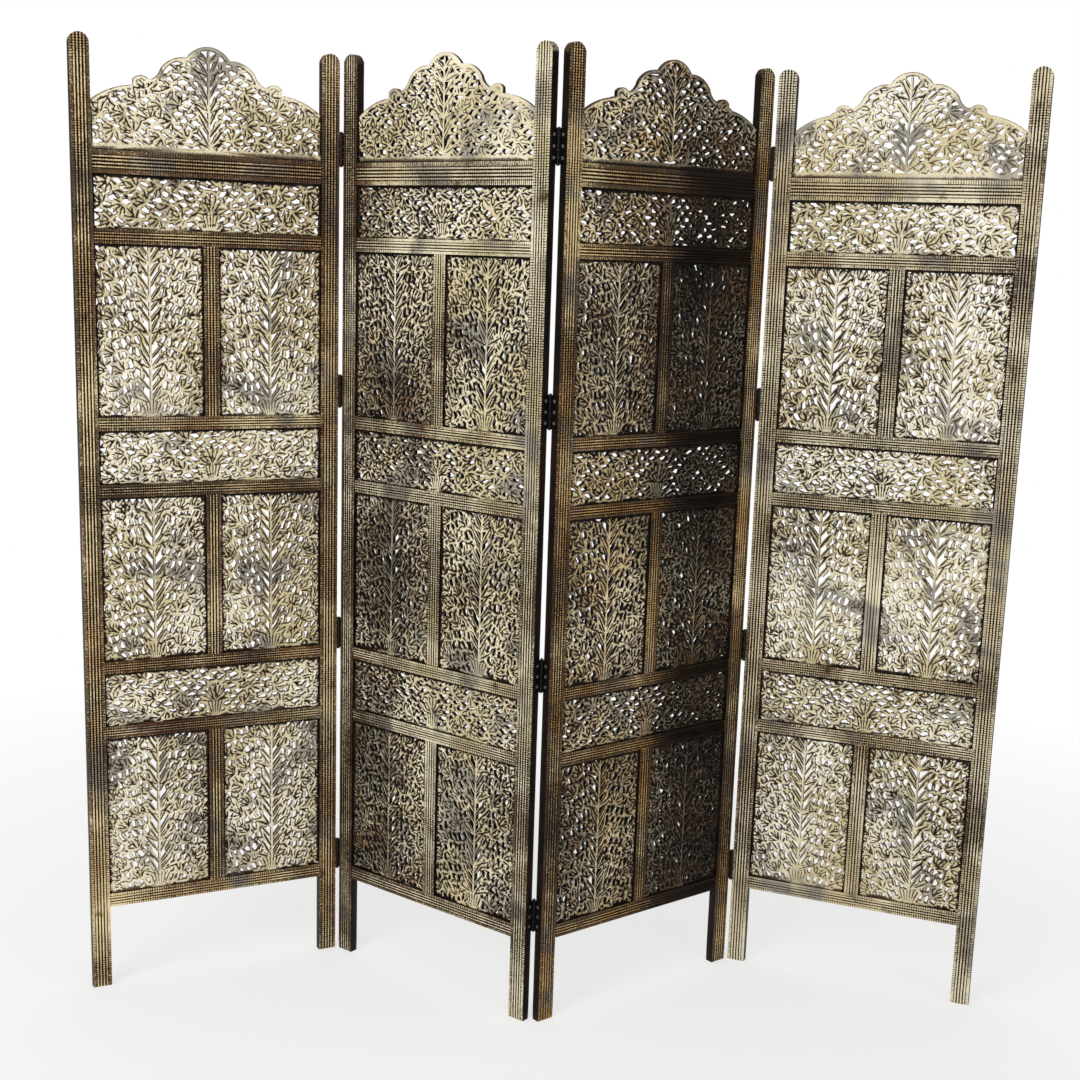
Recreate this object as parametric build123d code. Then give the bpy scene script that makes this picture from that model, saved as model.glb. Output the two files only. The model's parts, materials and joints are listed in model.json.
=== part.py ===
"""Four-leaf folding screen of carved, pierced wood: frame-and-panel leaves on butt hinges.

Millimetres. +Z is up, -Y is the front, +X runs from leaf 1 to leaf 4. The origin is on the floor,
under the middle of the standing zigzag. Each leaf is drawn in its own frame (x along the leaf from
its left edge, y from its front face to its back face, z up) and then stood in its place.
"""

import os
from math import cos, hypot, radians, sin, sqrt

from build123d import *

# Leaf
leaf_width = 505.0
leaf_height = 1829.0
leaf_turns = (25.0, -39.0, 37.0, -23.0)  # degrees about +Z, leaves 1 to 4, as the screen stands

# Frame members
stile_width = 36.0
stile_thickness = 20.0
rail_setback = 1.0  # rails and mullions lie this far behind the stile faces, front and back
mullion_width = 29.0

# Heights, from the floor up
leg_height = 166.0
bottom_rail_height = 28.0
lower_panel_height = 320.0
rail_above_lower_panels = 25.0
lower_band_height = 106.0
rail_above_lower_band = 24.0
middle_panel_height = 320.0
rail_above_middle_panels = 25.0
middle_band_height = 102.0
rail_above_middle_band = 25.0
upper_panel_height = 320.0
rail_above_upper_panels = 27.0
upper_band_height = 98.0
crest_rail_height = 42.0

# Crest outline above the crest rail, half of it: distance from the middle and height
crest_side_height = 86.0
crest_lobe_crown = (184.0, 106.0)
crest_lobe_end = (139.0, 117.0)
crest_knob_corner = (139.0, 128.0)
crest_knob_crown = (124.5, 135.0)
crest_knob_end = (110.0, 128.0)
crest_hollow_sag = (97.0, 135.0)
crest_hollow_end = (88.0, 150.0)
crest_shoulder_crown = (66.0, 168.0)
crest_shoulder_end = (40.0, 172.0)
crest_peak_height = 194.0

# Reeds carved along the members, on both faces
reed_groove_depth = 1.2
reed_groove_width = 2.0
stile_reeds = 5
stile_edge_flat = 3.0
rail_reeds = 4
rail_edge_flat = 2.0
crest_rail_reeds = 6
mullion_reeds = 4
mullion_edge_flat = 2.5

# Joinery
panel_thickness = 10.0
panel_play = 0.1  # on each face of a panel in its groove
panel_groove_depth = 7.0
panel_end_play = 0.5  # between a panel's edge and the bottom of its groove
tenon_thickness = 8.0
tenon_length = 22.0
mortise_play = 0.1  # on each face of a tenon, and at its end

# Pierced work
panel_margin = 5.0  # plain strip inside the opening
strand_width = 7.2  # wood left between two piercings
trunk_width = 7.0
smallest_piercing = 5.0  # a piercing narrower than this is not cut
tall_cells_across = 5
tall_cells_up = 7
tall_branch_rise = 0.35  # how much the rows climb away from the trunk
pot_width = 44.0
pot_height = 36.0
band_cells_across = 8
band_cells_up = 3
band_branch_rise = 0.12
vase_width = 30.0
vase_height = 42.0
crest_cells_across = 11
crest_cell_height = 36.0
crest_branch_rise = 0.2
crest_rim = 9.0
crest_foot_strip = 14.0

# Hinges
hinge_heights = (215.0, 694.0, 1188.0, 1653.0)  # middle of each hinge above the floor
hinge_length = 62.0
hinge_plate_width = 16.0
hinge_plate_thickness = 1.5
hinge_plate_gap = 0.5  # between the two plates when the leaves lie in line
knuckle_radius = 3.5
knuckle_count = 5
knuckle_gap = 0.4
knuckle_standoff = 3.4  # pin centre beyond the face of the stile
knuckle_relief = 0.6  # from a knuckle to the other leaf's plate
pin_radius = 1.8
pin_clearance = 0.05
pin_head_radius = 3.0
pin_head_height = 2.0
screws_per_plate = 3
screw_pitch = 20.0
screw_from_plate_edge = 7.5
screw_radius = 1.6
screw_head_radius = 3.1
screw_length = 15.0
screw_slot_width = 0.8
screw_slot_depth = 0.7

rail_thickness = stile_thickness - 2 * rail_setback
opening_width = leaf_width - 2 * stile_width
tall_opening_width = (opening_width - mullion_width) / 2
groove_width = panel_thickness + 2 * panel_play
panel_tongue = panel_groove_depth - panel_end_play
middle_depth = stile_thickness / 2
knuckle_reach = hinge_plate_thickness + hinge_plate_gap / 2  # stile edge to pin centre, along the leaf

# Levels of the leaf: name, height
levels = (
    ("legs", leg_height),
    ("bottom_rail", bottom_rail_height),
    ("lower_panels", lower_panel_height),
    ("rail_above_lower_panels", rail_above_lower_panels),
    ("lower_band", lower_band_height),
    ("rail_above_lower_band", rail_above_lower_band),
    ("middle_panels", middle_panel_height),
    ("rail_above_middle_panels", rail_above_middle_panels),
    ("middle_band", middle_band_height),
    ("rail_above_middle_band", rail_above_middle_band),
    ("upper_panels", upper_panel_height),
    ("rail_above_upper_panels", rail_above_upper_panels),
    ("upper_band", upper_band_height),
    ("crest_rail", crest_rail_height),
)
floors = {}
total = 0.0
for level_name, level_height in levels:
    floors[level_name] = (total, total + level_height)
    total += level_height
crest_floor = total
cross_rail_names = [name for name, _ in levels if name.startswith("rail_") or name == "bottom_rail"]
tall_names = ("lower_panels", "middle_panels", "upper_panels")
band_names = ("lower_band", "middle_band", "upper_band")


def block(x_range, y_range, z_range):
    """Box between two x, two y and two z."""
    size = [high - low for low, high in (x_range, y_range, z_range)]
    corner = [low for low, _ in (x_range, y_range, z_range)]
    return Pos(*corner) * Box(*size, align=(Align.MIN, Align.MIN, Align.MIN))


def centred(middle, size):
    """Range of a size about its middle."""
    return (middle - size / 2, middle + size / 2)


# ---------------------------------------------------------------- frame members
def reeded_edge(width, reeds, edge_flat):
    """Points across one face, as (position, depth): a V groove on each side of every reed."""
    pitch = (width - 2 * edge_flat) / reeds
    points = [(0.0, 0.0)]
    for number in range(reeds + 1):
        centre = edge_flat + number * pitch
        points += [
            (centre - reed_groove_width / 2, 0.0),
            (centre, reed_groove_depth),
            (centre + reed_groove_width / 2, 0.0),
        ]
    return points + [(width, 0.0)]


def member_section(width, thickness, reeds, edge_flat, groove_low=False, groove_high=False):
    """Closed outline of a member: across its width, then from its front face to its back face."""
    front = reeded_edge(width, reeds, edge_flat)
    back = [(across, thickness - depth) for across, depth in reversed(front)]
    near, far = centred(thickness / 2, groove_width)
    high = [(width - panel_groove_depth, near), (width - panel_groove_depth, far)]
    low = [(panel_groove_depth, far), (panel_groove_depth, near)]
    points = list(front)
    if groove_high:
        points += [(width, near)] + high + [(width, far)]
    points += back
    if groove_low:
        points += [(0.0, far)] + low + [(0.0, near)]
    return points


def bar(section, plane, length):
    """Straight member: its section pushed along the plane's normal."""
    return extrude(plane * make_face(Polyline(*section, close=True)), amount=length)


def tenon_height_range(name):
    """Height of a rail's tenons: what its panel grooves leave."""
    low, high = floors[name]
    if name != "bottom_rail":
        low += panel_groove_depth
    return (low, high - panel_groove_depth)


def rail(name):
    """Cross rail with its reeds, panel grooves and two tenons."""
    low, high = floors[name]
    reeds = crest_rail_reeds if name == "crest_rail" else rail_reeds
    section = member_section(high - low, rail_thickness, reeds, rail_edge_flat, name != "bottom_rail", True)
    plane = Plane(origin=(leaf_width - stile_width, rail_setback, low), x_dir=(0, 0, 1), z_dir=(-1, 0, 0))
    body = bar(section, plane, opening_width)
    tenons = block(
        (stile_width - tenon_length, leaf_width - stile_width + tenon_length),
        centred(middle_depth, tenon_thickness),
        tenon_height_range(name),
    )
    return body + tenons


def stile(side):
    """Upright, right (side 1) or left (side -1): reeds, round top, panel groove, mortises, pilot holes."""
    section = member_section(stile_width, stile_thickness, stile_reeds, stile_edge_flat)
    upright = bar(section, Plane.XY, leaf_height)
    radius = stile_width / 2
    shoulder = leaf_height - radius
    outline = make_face(
        Polyline((0, shoulder), (0, 0), (stile_width, 0), (stile_width, shoulder))
        + ThreePointArc((stile_width, shoulder), (radius, leaf_height), (0, shoulder))
    )
    upright &= extrude(Plane.XZ * outline, amount=-stile_thickness)
    groove_floor = floors["bottom_rail"][1] - panel_groove_depth
    upright -= block(
        (stile_width - panel_groove_depth, stile_width),
        centred(middle_depth, groove_width),
        (groove_floor, crest_floor + crest_side_height),
    )
    for name in cross_rail_names + ["crest_rail"]:
        low, high = tenon_height_range(name)
        upright -= block(
            (stile_width - tenon_length - mortise_play, stile_width),
            centred(middle_depth, tenon_thickness + 2 * mortise_play),
            (low - mortise_play, high + mortise_play),
        )
    if side > 0:
        upright = Pos(leaf_width, 0, 0) * mirror(upright, about=Plane.YZ)
    return upright


def mullion(name):
    """Short upright between a pair of tall panels, with stub tenons in the rails' panel grooves."""
    low, high = floors[name]
    section = member_section(mullion_width, rail_thickness, mullion_reeds, mullion_edge_flat, True, True)
    left = stile_width + tall_opening_width
    body = bar(section, Plane(origin=(left, rail_setback, low)), high - low)
    stub = block(
        (left + panel_groove_depth, left + mullion_width - panel_groove_depth),
        centred(middle_depth, panel_thickness),
        (low - panel_tongue, high + panel_tongue),
    )
    return body + stub


# ---------------------------------------------------------------- pierced panels
def clip(points, normal, limit):
    """Part of a convex polygon where normal . point <= limit."""
    kept = []
    for start, end in zip(points, points[1:] + points[:1]):
        a = normal[0] * start[0] + normal[1] * start[1] - limit
        b = normal[0] * end[0] + normal[1] * end[1] - limit
        if a <= 0:
            kept.append(start)
        if a * b < 0:
            share = a / (a - b)
            kept.append(tuple(s + share * (e - s) for s, e in zip(start, end)))
    return kept


def narrowest(points):
    """Smallest breadth of a convex polygon, measured square to its sides."""
    breadths = []
    for start, end in zip(points, points[1:] + points[:1]):
        run = hypot(end[0] - start[0], end[1] - start[1])
        if run > 0.01:
            breadths.append(max(
                abs((end[0] - start[0]) * (p[1] - start[1]) - (end[1] - start[1]) * (p[0] - start[0])) / run
                for p in points
            ))
    return min(breadths) if len(breadths) > 2 else 0.0


def inset(points, distance):
    """Convex polygon, counter-clockwise, with every side moved inward."""
    shrunk = points
    for start, end in zip(points, points[1:] + points[:1]):
        run = hypot(end[0] - start[0], end[1] - start[1])
        normal = ((end[1] - start[1]) / run, -(end[0] - start[0]) / run)
        shrunk = clip(shrunk, normal, normal[0] * start[0] + normal[1] * start[1] - distance)
        if len(shrunk) < 3:
            return []
    return shrunk


def piercings(half_width, floor, ceiling, cell, rise, solid):
    """Piercings of a lattice that branches from a trunk: diamonds whose rows climb outward.

    The lattice's strands cross every half cell. A diamond is cut by the margins and the trunk, and
    left out where solid(x, z) says so at one of its corners.
    """
    step_x, step_z = cell[0] / 2, cell[1] / 2
    columns = int(half_width / step_x) + 1
    lowest = int((floor - rise * half_width) / step_z) - 2
    highest = int(ceiling / step_z) + 2
    found = []
    for column in range(columns + 1):
        for row in range(lowest, highest + 1):
            if (column + row) % 2 == 0:
                continue
            ring = [(column, row - 1), (column + 1, row), (column, row + 1), (column - 1, row)]
            corners = [(i * step_x, j * step_z + rise * abs(i) * step_x) for i, j in ring]
            hole = inset(corners, strand_width / 2)
            for normal, limit in (
                ((-1, 0), -trunk_width / 2), ((1, 0), half_width), ((0, -1), -floor), ((0, 1), ceiling),
            ):
                hole = clip(hole, normal, limit)
            if len(hole) < 3 or narrowest(hole) < smallest_piercing or any(solid(x, z) for x, z in hole):
                continue
            found += [hole, [(-x, z) for x, z in reversed(hole)]]
    return found


def pierced_board(outline, holes, left, floor):
    """Board of the panels' thickness with its piercings: outline and holes are about the panel's middle."""
    face = Face(outline, [Wire.make_polygon([(x, z, 0) for x, z in hole]) for hole in holes])
    plane = Plane(origin=(left, middle_depth + panel_thickness / 2, floor), x_dir=(1, 0, 0), z_dir=(0, -1, 0))
    return extrude(plane * face, amount=panel_thickness)


def flat_panel(width, height, middle, floor, cell, rise, solid):
    """Rectangular carved panel with tongues all round."""
    reach = width / 2 + panel_tongue
    corners = [(-reach, -panel_tongue), (reach, -panel_tongue)]
    corners += [(reach, height + panel_tongue), (-reach, height + panel_tongue)]
    outline = Wire.make_polygon([(x, z, 0) for x, z in corners])
    holes = piercings(width / 2 - panel_margin, panel_margin, height - panel_margin, cell, rise, solid)
    return pierced_board(outline, holes, middle, floor)


def tall_panels(name):
    """The two carved panels of a tall level, left and right of the mullion."""
    low, high = floors[name]
    cell = (tall_opening_width / tall_cells_across, (high - low) / tall_cells_up)

    def pot(x, z):
        """A fluted pot stands at the foot of the trunk."""
        return abs(x) < pot_width / 2 and z < pot_height

    middles = (stile_width + tall_opening_width / 2, leaf_width - stile_width - tall_opening_width / 2)
    return [
        flat_panel(tall_opening_width, high - low, middle, low, cell, tall_branch_rise, pot) for middle in middles
    ]


def band_panel(name):
    """Low wide carved panel with a vase at its middle."""
    low, high = floors[name]
    cell = (opening_width / band_cells_across, (high - low) / band_cells_up)

    def vase(x, z):
        """A vase stands at the middle of the band."""
        return abs(x) < vase_width / 2 and z < vase_height

    return flat_panel(opening_width, high - low, leaf_width / 2, low, cell, band_branch_rise, vase)


def arc_height(across, start, crown, end):
    """Height at a distance from the middle of the circle through three points, on the crown's side."""
    (x1, z1), (x2, z2), (x3, z3) = start, crown, end
    area = 2 * (x1 * (z2 - z3) + x2 * (z3 - z1) + x3 * (z1 - z2))
    squares = (x1**2 + z1**2, x2**2 + z2**2, x3**2 + z3**2)
    centre_x = (squares[0] * (z2 - z3) + squares[1] * (z3 - z1) + squares[2] * (z1 - z2)) / area
    centre_z = (squares[0] * (x3 - x2) + squares[1] * (x1 - x3) + squares[2] * (x2 - x1)) / area
    radius = hypot(x1 - centre_x, z1 - centre_z)
    rise = sqrt(max(radius**2 - (across - centre_x) ** 2, 0.0))
    return centre_z + rise if crown[1] > centre_z else centre_z - rise


def crest_arcs():
    """Arcs of the crest's edge from the side to the middle, as start, crown and end."""
    side = (opening_width / 2, crest_side_height)
    mirrored_end = (-crest_shoulder_end[0], crest_shoulder_end[1])
    return (
        (side, crest_lobe_crown, crest_lobe_end),
        (crest_knob_corner, crest_knob_crown, crest_knob_end),
        (crest_knob_end, crest_hollow_sag, crest_hollow_end),
        (crest_hollow_end, crest_shoulder_crown, crest_shoulder_end),
        (crest_shoulder_end, (0.0, crest_peak_height), mirrored_end),
    )


def crest_height(x):
    """Height of the crest's edge above the crest rail at a distance from the middle."""
    across = abs(x)
    for start, crown, end in crest_arcs():
        if end[0] <= across <= start[0]:
            return arc_height(across, start, crown, end)
    return crest_side_height


def flipped(point, side):
    """Point on the side given: 1 as it is, -1 mirrored about the middle."""
    return (side * point[0], point[1])


def crest_panel():
    """Carved crest board: scalloped edge, tongues in the stiles and in the crest rail."""
    reach = opening_width / 2 + panel_tongue
    *half, top = crest_arcs()
    edges = [ThreePointArc(*top), Line((-reach, -panel_tongue), (reach, -panel_tongue))]
    for side in (1, -1):
        stops = [(reach, -panel_tongue), (reach, crest_side_height), half[0][0]]
        edges += [Line(*(flipped(point, side) for point in pair)) for pair in zip(stops, stops[1:])]
        edges += [Line(flipped(half[0][2], side), flipped(half[1][0], side))]
        edges += [ThreePointArc(*(flipped(point, side) for point in arc)) for arc in half]
    outline = Wire([edge.edge() for edge in edges])

    def rim(x, z):
        """The edge keeps a plain rim, also where it is steep."""
        sides = (abs(x) - crest_rim, abs(x), abs(x) + crest_rim)
        return z > min(crest_height(side) - (crest_rim if side == abs(x) else 0.0) for side in sides)

    cell = (opening_width / crest_cells_across, crest_cell_height)
    holes = piercings(
        opening_width / 2 - panel_margin, crest_foot_strip, crest_peak_height, cell, crest_branch_rise, rim
    )
    return pierced_board(outline, holes, leaf_width / 2, crest_floor)


# ---------------------------------------------------------------- hinges
def hinge_ends(leaf):
    """Hinged edges of a leaf: (side, face) with side -1 left or 1 right, face -1 front or 1 back."""
    ends = []
    if leaf > 1:
        ends.append((-1, knuckle_face(leaf - 1)))
    if leaf < len(leaf_turns):
        ends.append((1, knuckle_face(leaf)))
    return ends


def knuckle_face(joint):
    """Which face carries the knuckles between a leaf and the next: front (-1) where the fold points back."""
    return -1 if leaf_turns[joint - 1] > leaf_turns[joint] else 1


def pin_point(side, face):
    """Pin centre in the leaf's frame: x and y."""
    across = leaf_width + knuckle_reach if side > 0 else -knuckle_reach
    depth = stile_thickness + knuckle_standoff if face > 0 else -knuckle_standoff
    return across, depth


def plate(side, face, middle):
    """Hinge plate on a stile's edge, with its share of the knuckles. The right-hand leaf has the odd ones."""
    axis_x, axis_y = pin_point(side, face)
    outer = leaf_width if side > 0 else 0.0
    x_range = sorted((outer, outer + side * hinge_plate_thickness))
    near_pin = stile_thickness if face > 0 else 0.0
    far_edge = near_pin - face * hinge_plate_width
    bottom = middle - hinge_length / 2
    knuckle_length = (hinge_length - (knuckle_count - 1) * knuckle_gap) / knuckle_count
    cut_back = axis_y - face * sqrt(
        (knuckle_radius + knuckle_relief) ** 2 - (axis_x - x_range[1 if side > 0 else 0]) ** 2
    )
    solid = block(x_range, sorted((far_edge, cut_back)), (bottom, bottom + hinge_length))
    first = 0 if side > 0 else 1
    for number in range(first, knuckle_count, 2):
        low = bottom + number * (knuckle_length + knuckle_gap)
        solid += block(x_range, sorted((far_edge, axis_y)), (low, low + knuckle_length))
        barrel = Pos(axis_x, axis_y, low) * extrude(Circle(knuckle_radius), amount=knuckle_length)
        solid += barrel
    bore = Circle(pin_radius + pin_clearance)
    solid -= Pos(axis_x, axis_y, bottom) * extrude(bore, amount=hinge_length)
    for place in screw_places(side, face, middle):
        solid -= place * screw_blank()
    return solid


def screw_places(side, face, middle):
    """Where a plate's screws go: their head faces, pointing out of the stile's edge."""
    outer = leaf_width if side > 0 else 0.0
    near_pin = stile_thickness if face > 0 else 0.0
    depth = near_pin - face * (hinge_plate_width - screw_from_plate_edge)
    heights = [middle + (number - (screws_per_plate - 1) / 2) * screw_pitch for number in range(screws_per_plate)]
    normal = (side, 0, 0)
    return [
        Plane(origin=(outer + side * hinge_plate_thickness, depth, height), z_dir=normal).location
        for height in heights
    ]


def screw_blank():
    """Countersunk screw without its slot: head face on z = 0, shank along -z."""
    sides = [(0, 0), (screw_head_radius, 0), (screw_radius, screw_radius - screw_head_radius)]
    sides += [(screw_radius, -screw_length), (0, -screw_length)]
    return revolve(Plane.XZ * make_face(Polyline(*sides, close=True)), axis=Axis.Z)


def screw():
    """Countersunk slotted screw."""
    slot = Box(2 * screw_head_radius, screw_slot_width, 2 * screw_slot_depth)
    return screw_blank() - slot


def hinge_pin(side, face, middle):
    """Pin with a button at each end."""
    axis_x, axis_y = pin_point(side, face)
    low = middle - hinge_length / 2
    shank = extrude(Circle(pin_radius), amount=hinge_length)
    buttons = [
        Pos(0, 0, -pin_head_height) * extrude(Circle(pin_head_radius), amount=pin_head_height),
        Pos(0, 0, hinge_length) * extrude(Circle(pin_head_radius), amount=pin_head_height),
    ]
    return Pos(axis_x, axis_y, low) * (shank + buttons[0] + buttons[1])


# ---------------------------------------------------------------- leaves in their places
def turned(point, angle):
    """Plan point turned about the origin."""
    x, y = point
    c, s = cos(radians(angle)), sin(radians(angle))
    return (c * x - s * y, s * x + c * y)


def leaf_places():
    """Plan position of each leaf's left front corner, and of each pin between two leaves."""
    corners = [(0.0, 0.0)]
    pins = []
    for joint in range(1, len(leaf_turns)):
        face = knuckle_face(joint)
        dx, dy = turned(pin_point(1, face), leaf_turns[joint - 1])
        pin = (corners[-1][0] + dx, corners[-1][1] + dy)
        back_x, back_y = turned(pin_point(-1, face), leaf_turns[joint])
        corners.append((pin[0] - back_x, pin[1] - back_y))
        pins.append(pin)
    ends = [
        (corner[0] + dx, corner[1] + dy)
        for corner, angle in zip(corners, leaf_turns)
        for dx, dy in (turned((x, y), angle) for x in (0.0, leaf_width) for y in (0.0, stile_thickness))
    ]
    middle = [(min(end[axis] for end in ends) + max(end[axis] for end in ends)) / 2 for axis in (0, 1)]
    move = lambda point: (point[0] - middle[0], point[1] - middle[1])
    return [move(corner) for corner in corners], [move(pin) for pin in pins]


def leaf_shapes():
    """Solids of one leaf's woodwork in the leaf's frame, by node name."""
    shapes = {
        "left_stile": [stile(-1)],
        "right_stile": [stile(1)],
        "crest_rail": [rail("crest_rail")],
        "cross_rails": [rail(name) for name in cross_rail_names],
        "mullions": [mullion(name) for name in tall_names],
        "crest_panel": [crest_panel()],
    }
    for name in band_names:
        shapes[name + "_panel"] = [band_panel(name)]
    for name in tall_names:
        shapes[name] = tall_panels(name)
    return shapes


def hardware_shapes(leaf):
    """Solids of one leaf's share of the hinges in the leaf's frame, by node name."""
    shapes = {}
    screws, pins = [], []
    for side, face in hinge_ends(leaf):
        where = "right" if side > 0 else "left"
        shapes[where + "_hinge_plates"] = [plate(side, face, height) for height in hinge_heights]
        for height in hinge_heights:
            screws += [place * screw() for place in screw_places(side, face, height)]
        if (leaf, side) in ((2, -1), (2, 1), (3, 1)):
            pins += [hinge_pin(side, face, height) for height in hinge_heights]
    shapes["hinge_screws"] = screws
    if pins:
        shapes["hinge_pins"] = pins
    return shapes


def with_pilot_holes(uprights, leaf):
    """Stiles of one leaf with the holes for its hinge screws."""
    left, right = uprights
    for side, face in hinge_ends(leaf):
        for height in hinge_heights:
            for place in screw_places(side, face, height):
                if side > 0:
                    right -= place * screw_blank()
                else:
                    left -= place * screw_blank()
    return left, right


os.makedirs("parts", exist_ok=True)
corners, pins = leaf_places()
woodwork = leaf_shapes()
for number, (corner, turn) in enumerate(zip(corners, leaf_turns), start=1):
    shapes = dict(woodwork)
    left, right = with_pilot_holes((woodwork["left_stile"][0], woodwork["right_stile"][0]), number)
    shapes["left_stile"], shapes["right_stile"] = [left], [right]
    shapes.update(hardware_shapes(number))
    place = Pos(*corner) * Rot(0, 0, turn)
    for name, solids in shapes.items():
        placed = [place * solid for solid in solids]
        export_step(Compound(children=placed) if len(placed) > 1 else placed[0], f"parts/leaf_{number}_{name}.step")
for joint, (x, y) in enumerate(pins, start=1):
    print(f"pin between leaves {joint} and {joint + 1}: x {x:.4f}, y {y:.4f}")
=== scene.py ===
"""Carved folding screen: four reeded leaves with pierced boards, hinged into a zigzag.

Lengths inside the classes are millimetres in a leaf's own frame: across from its left edge, depth from its
front face to its back face, height from the floor. LeafPlace turns them into metres in the room.
"""

import json
import logging
from abc import ABC, abstractmethod
from dataclasses import dataclass, field
from enum import Enum

import bpy
import numpy as np
from mathutils import Matrix, Vector
from mathutils.geometry import delaunay_2d_cdt


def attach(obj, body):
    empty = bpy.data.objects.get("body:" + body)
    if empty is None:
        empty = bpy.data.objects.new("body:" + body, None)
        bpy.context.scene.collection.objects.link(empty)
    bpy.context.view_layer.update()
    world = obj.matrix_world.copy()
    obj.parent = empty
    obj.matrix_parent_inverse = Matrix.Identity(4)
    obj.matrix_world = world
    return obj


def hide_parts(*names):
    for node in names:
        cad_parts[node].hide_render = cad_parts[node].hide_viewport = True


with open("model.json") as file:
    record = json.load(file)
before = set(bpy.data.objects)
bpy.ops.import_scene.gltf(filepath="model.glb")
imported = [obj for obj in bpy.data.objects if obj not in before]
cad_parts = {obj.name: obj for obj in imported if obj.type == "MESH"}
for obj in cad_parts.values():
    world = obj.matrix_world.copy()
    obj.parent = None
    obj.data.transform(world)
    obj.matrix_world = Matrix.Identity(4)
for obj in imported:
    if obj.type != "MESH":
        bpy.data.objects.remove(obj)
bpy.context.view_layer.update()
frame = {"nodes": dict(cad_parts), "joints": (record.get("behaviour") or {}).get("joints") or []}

logging.basicConfig(level=logging.INFO, format="%(message)s")
log = logging.getLogger("screen")

Array = np.ndarray
Screen = tuple[int, int, int]

LEAF_WIDTH = 505.0
LEAF_HEIGHT = 1829.0
STILE_WIDTH = 36.0
STILE_THICKNESS = 20.0
RAIL_SETBACK = 1.0
RAIL_THICKNESS = STILE_THICKNESS - 2 * RAIL_SETBACK
RAIL_OVERLAP = 2.0
MULLION_OVERLAP = 0.5
OPENING = LEAF_WIDTH - 2 * STILE_WIDTH
MULLION_WIDTH = 29.0
TALL_OPENING = (OPENING - MULLION_WIDTH) / 2
TONGUE = 6.5
BOTTOM_RAIL_FOOT = 166.0
CREST_FLOOR = 1628.0
CREST_PEAK = 194.0
END_EASE = 0.8
PIN_ASIDE = 1.75
PIN_DEPTH = 3.4

# How much of the pale coat is kept where it isn't worked out from the relief. The low values on the members'
# sides and on the boards' plain border at the sides and top are painted shade.
WALL_PAINT = -0.08
SIDE_SHADE_PAINT = -0.25
EDGE_SHADE_PAINT = -0.4
END_PAINT = 0.55

# Stations along a blade, and its breadth there as a share of its greatest.
LEAF_STATIONS = (0.0, 0.15, 0.42, 0.75, 1.0)
LEAF_BREADTHS = (0.0, 0.7, 1.0, 0.74, 0.0)
THORN_STATIONS = (0.0, 0.42, 1.0)
THORN_BREADTHS = (0.55, 1.0, 0.0)
SHORTEST_BLADE = 5.0
THORN_FALL = -1.4
RIB_HALF = 1.1
RIB_STATIONS = (0.16, 0.93)
STRIP_FALL = 1.1
BORDER_LEVEL = -1.8
PLATE_LEVEL = -1.3

# Cutting a board: the search for forms goes tile by tile, and points this close become one.
TILE = 22.0
TILE_REACH = 15.6
DRAWN_MERGE = 0.45
CUT_MERGE = 0.01
FLOOD_ROUNDS = 400
OUTLINE_SOFTENING = 0.2
STRAIGHT_ENOUGH = 0.88
SPRAY_LENGTHS = (0.8, 0.92, 1.0, 0.92, 0.8)
SINGLE_PAIR = (34.0,)
DOUBLE_PAIR = (33.0, 64.0)


class Level(Enum):
    """Rows of boards on a leaf: floor and ceiling of the opening above the floor."""

    LOWER_PANELS = (194.0, 514.0)
    LOWER_BAND = (539.0, 645.0)
    MIDDLE_PANELS = (669.0, 989.0)
    MIDDLE_BAND = (1014.0, 1116.0)
    UPPER_PANELS = (1141.0, 1461.0)
    UPPER_BAND = (1488.0, 1586.0)

    @property
    def node(self) -> str:
        """Name of the row's CAD node, after its leaf."""
        return self.name.lower() + ("_panel" if self.name.endswith("BAND") else "")


class Cloud(Enum):
    """Noises that vary the finishes: bumps to the metre, detail and roughness."""

    GOLD_DRIFT = (5.5, 3.0, 0.5)
    GREY_DRIFT = (9.0, 2.0, 0.6)
    BROWN_SPOTS = (23.0, 3.0, 0.6)
    WORN_PATCHES = (3.2, 4.0, 0.62)
    BRUSH_GRIT = (260.0, 3.0, 0.7)
    STAIN_DEPTH = (14.0, 3.0, 0.5)
    WOOD_GRAIN = (420.0, 3.0, 0.65)
    NICK_SWAY = (60.0, 2.0, 0.5)
    FRESH_NICKS = (11.0, 2.0, 0.5)
    SCRATCHES = (900.0, 3.0, 0.7)
    RUST = (140.0, 4.0, 0.65)
    FORGED_SKIN = (1500.0, 3.0, 0.5)


class Slot(Enum):
    """Material slots of the record."""

    STILE = "stile_wood"
    RAIL = "rail_wood"
    MULLION = "mullion_wood"
    CREST = "crest_carving"
    BAND = "band_carving"
    PANEL = "panel_carving"


def linear(red: int, green: int, blue: int) -> tuple[float, float, float, float]:
    """Colour for a socket, from its 0 to 255 screen values.

    Args:
        red, green, blue: screen values.

    Returns:
        Linear red, green, blue and an alpha of 1.
    """
    screen = np.array([red, green, blue]) / 255.0
    values = np.where(screen <= 0.04045, screen / 12.92, ((screen + 0.055) / 1.055) ** 2.4)
    return (*(float(v) for v in values), 1.0)


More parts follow.
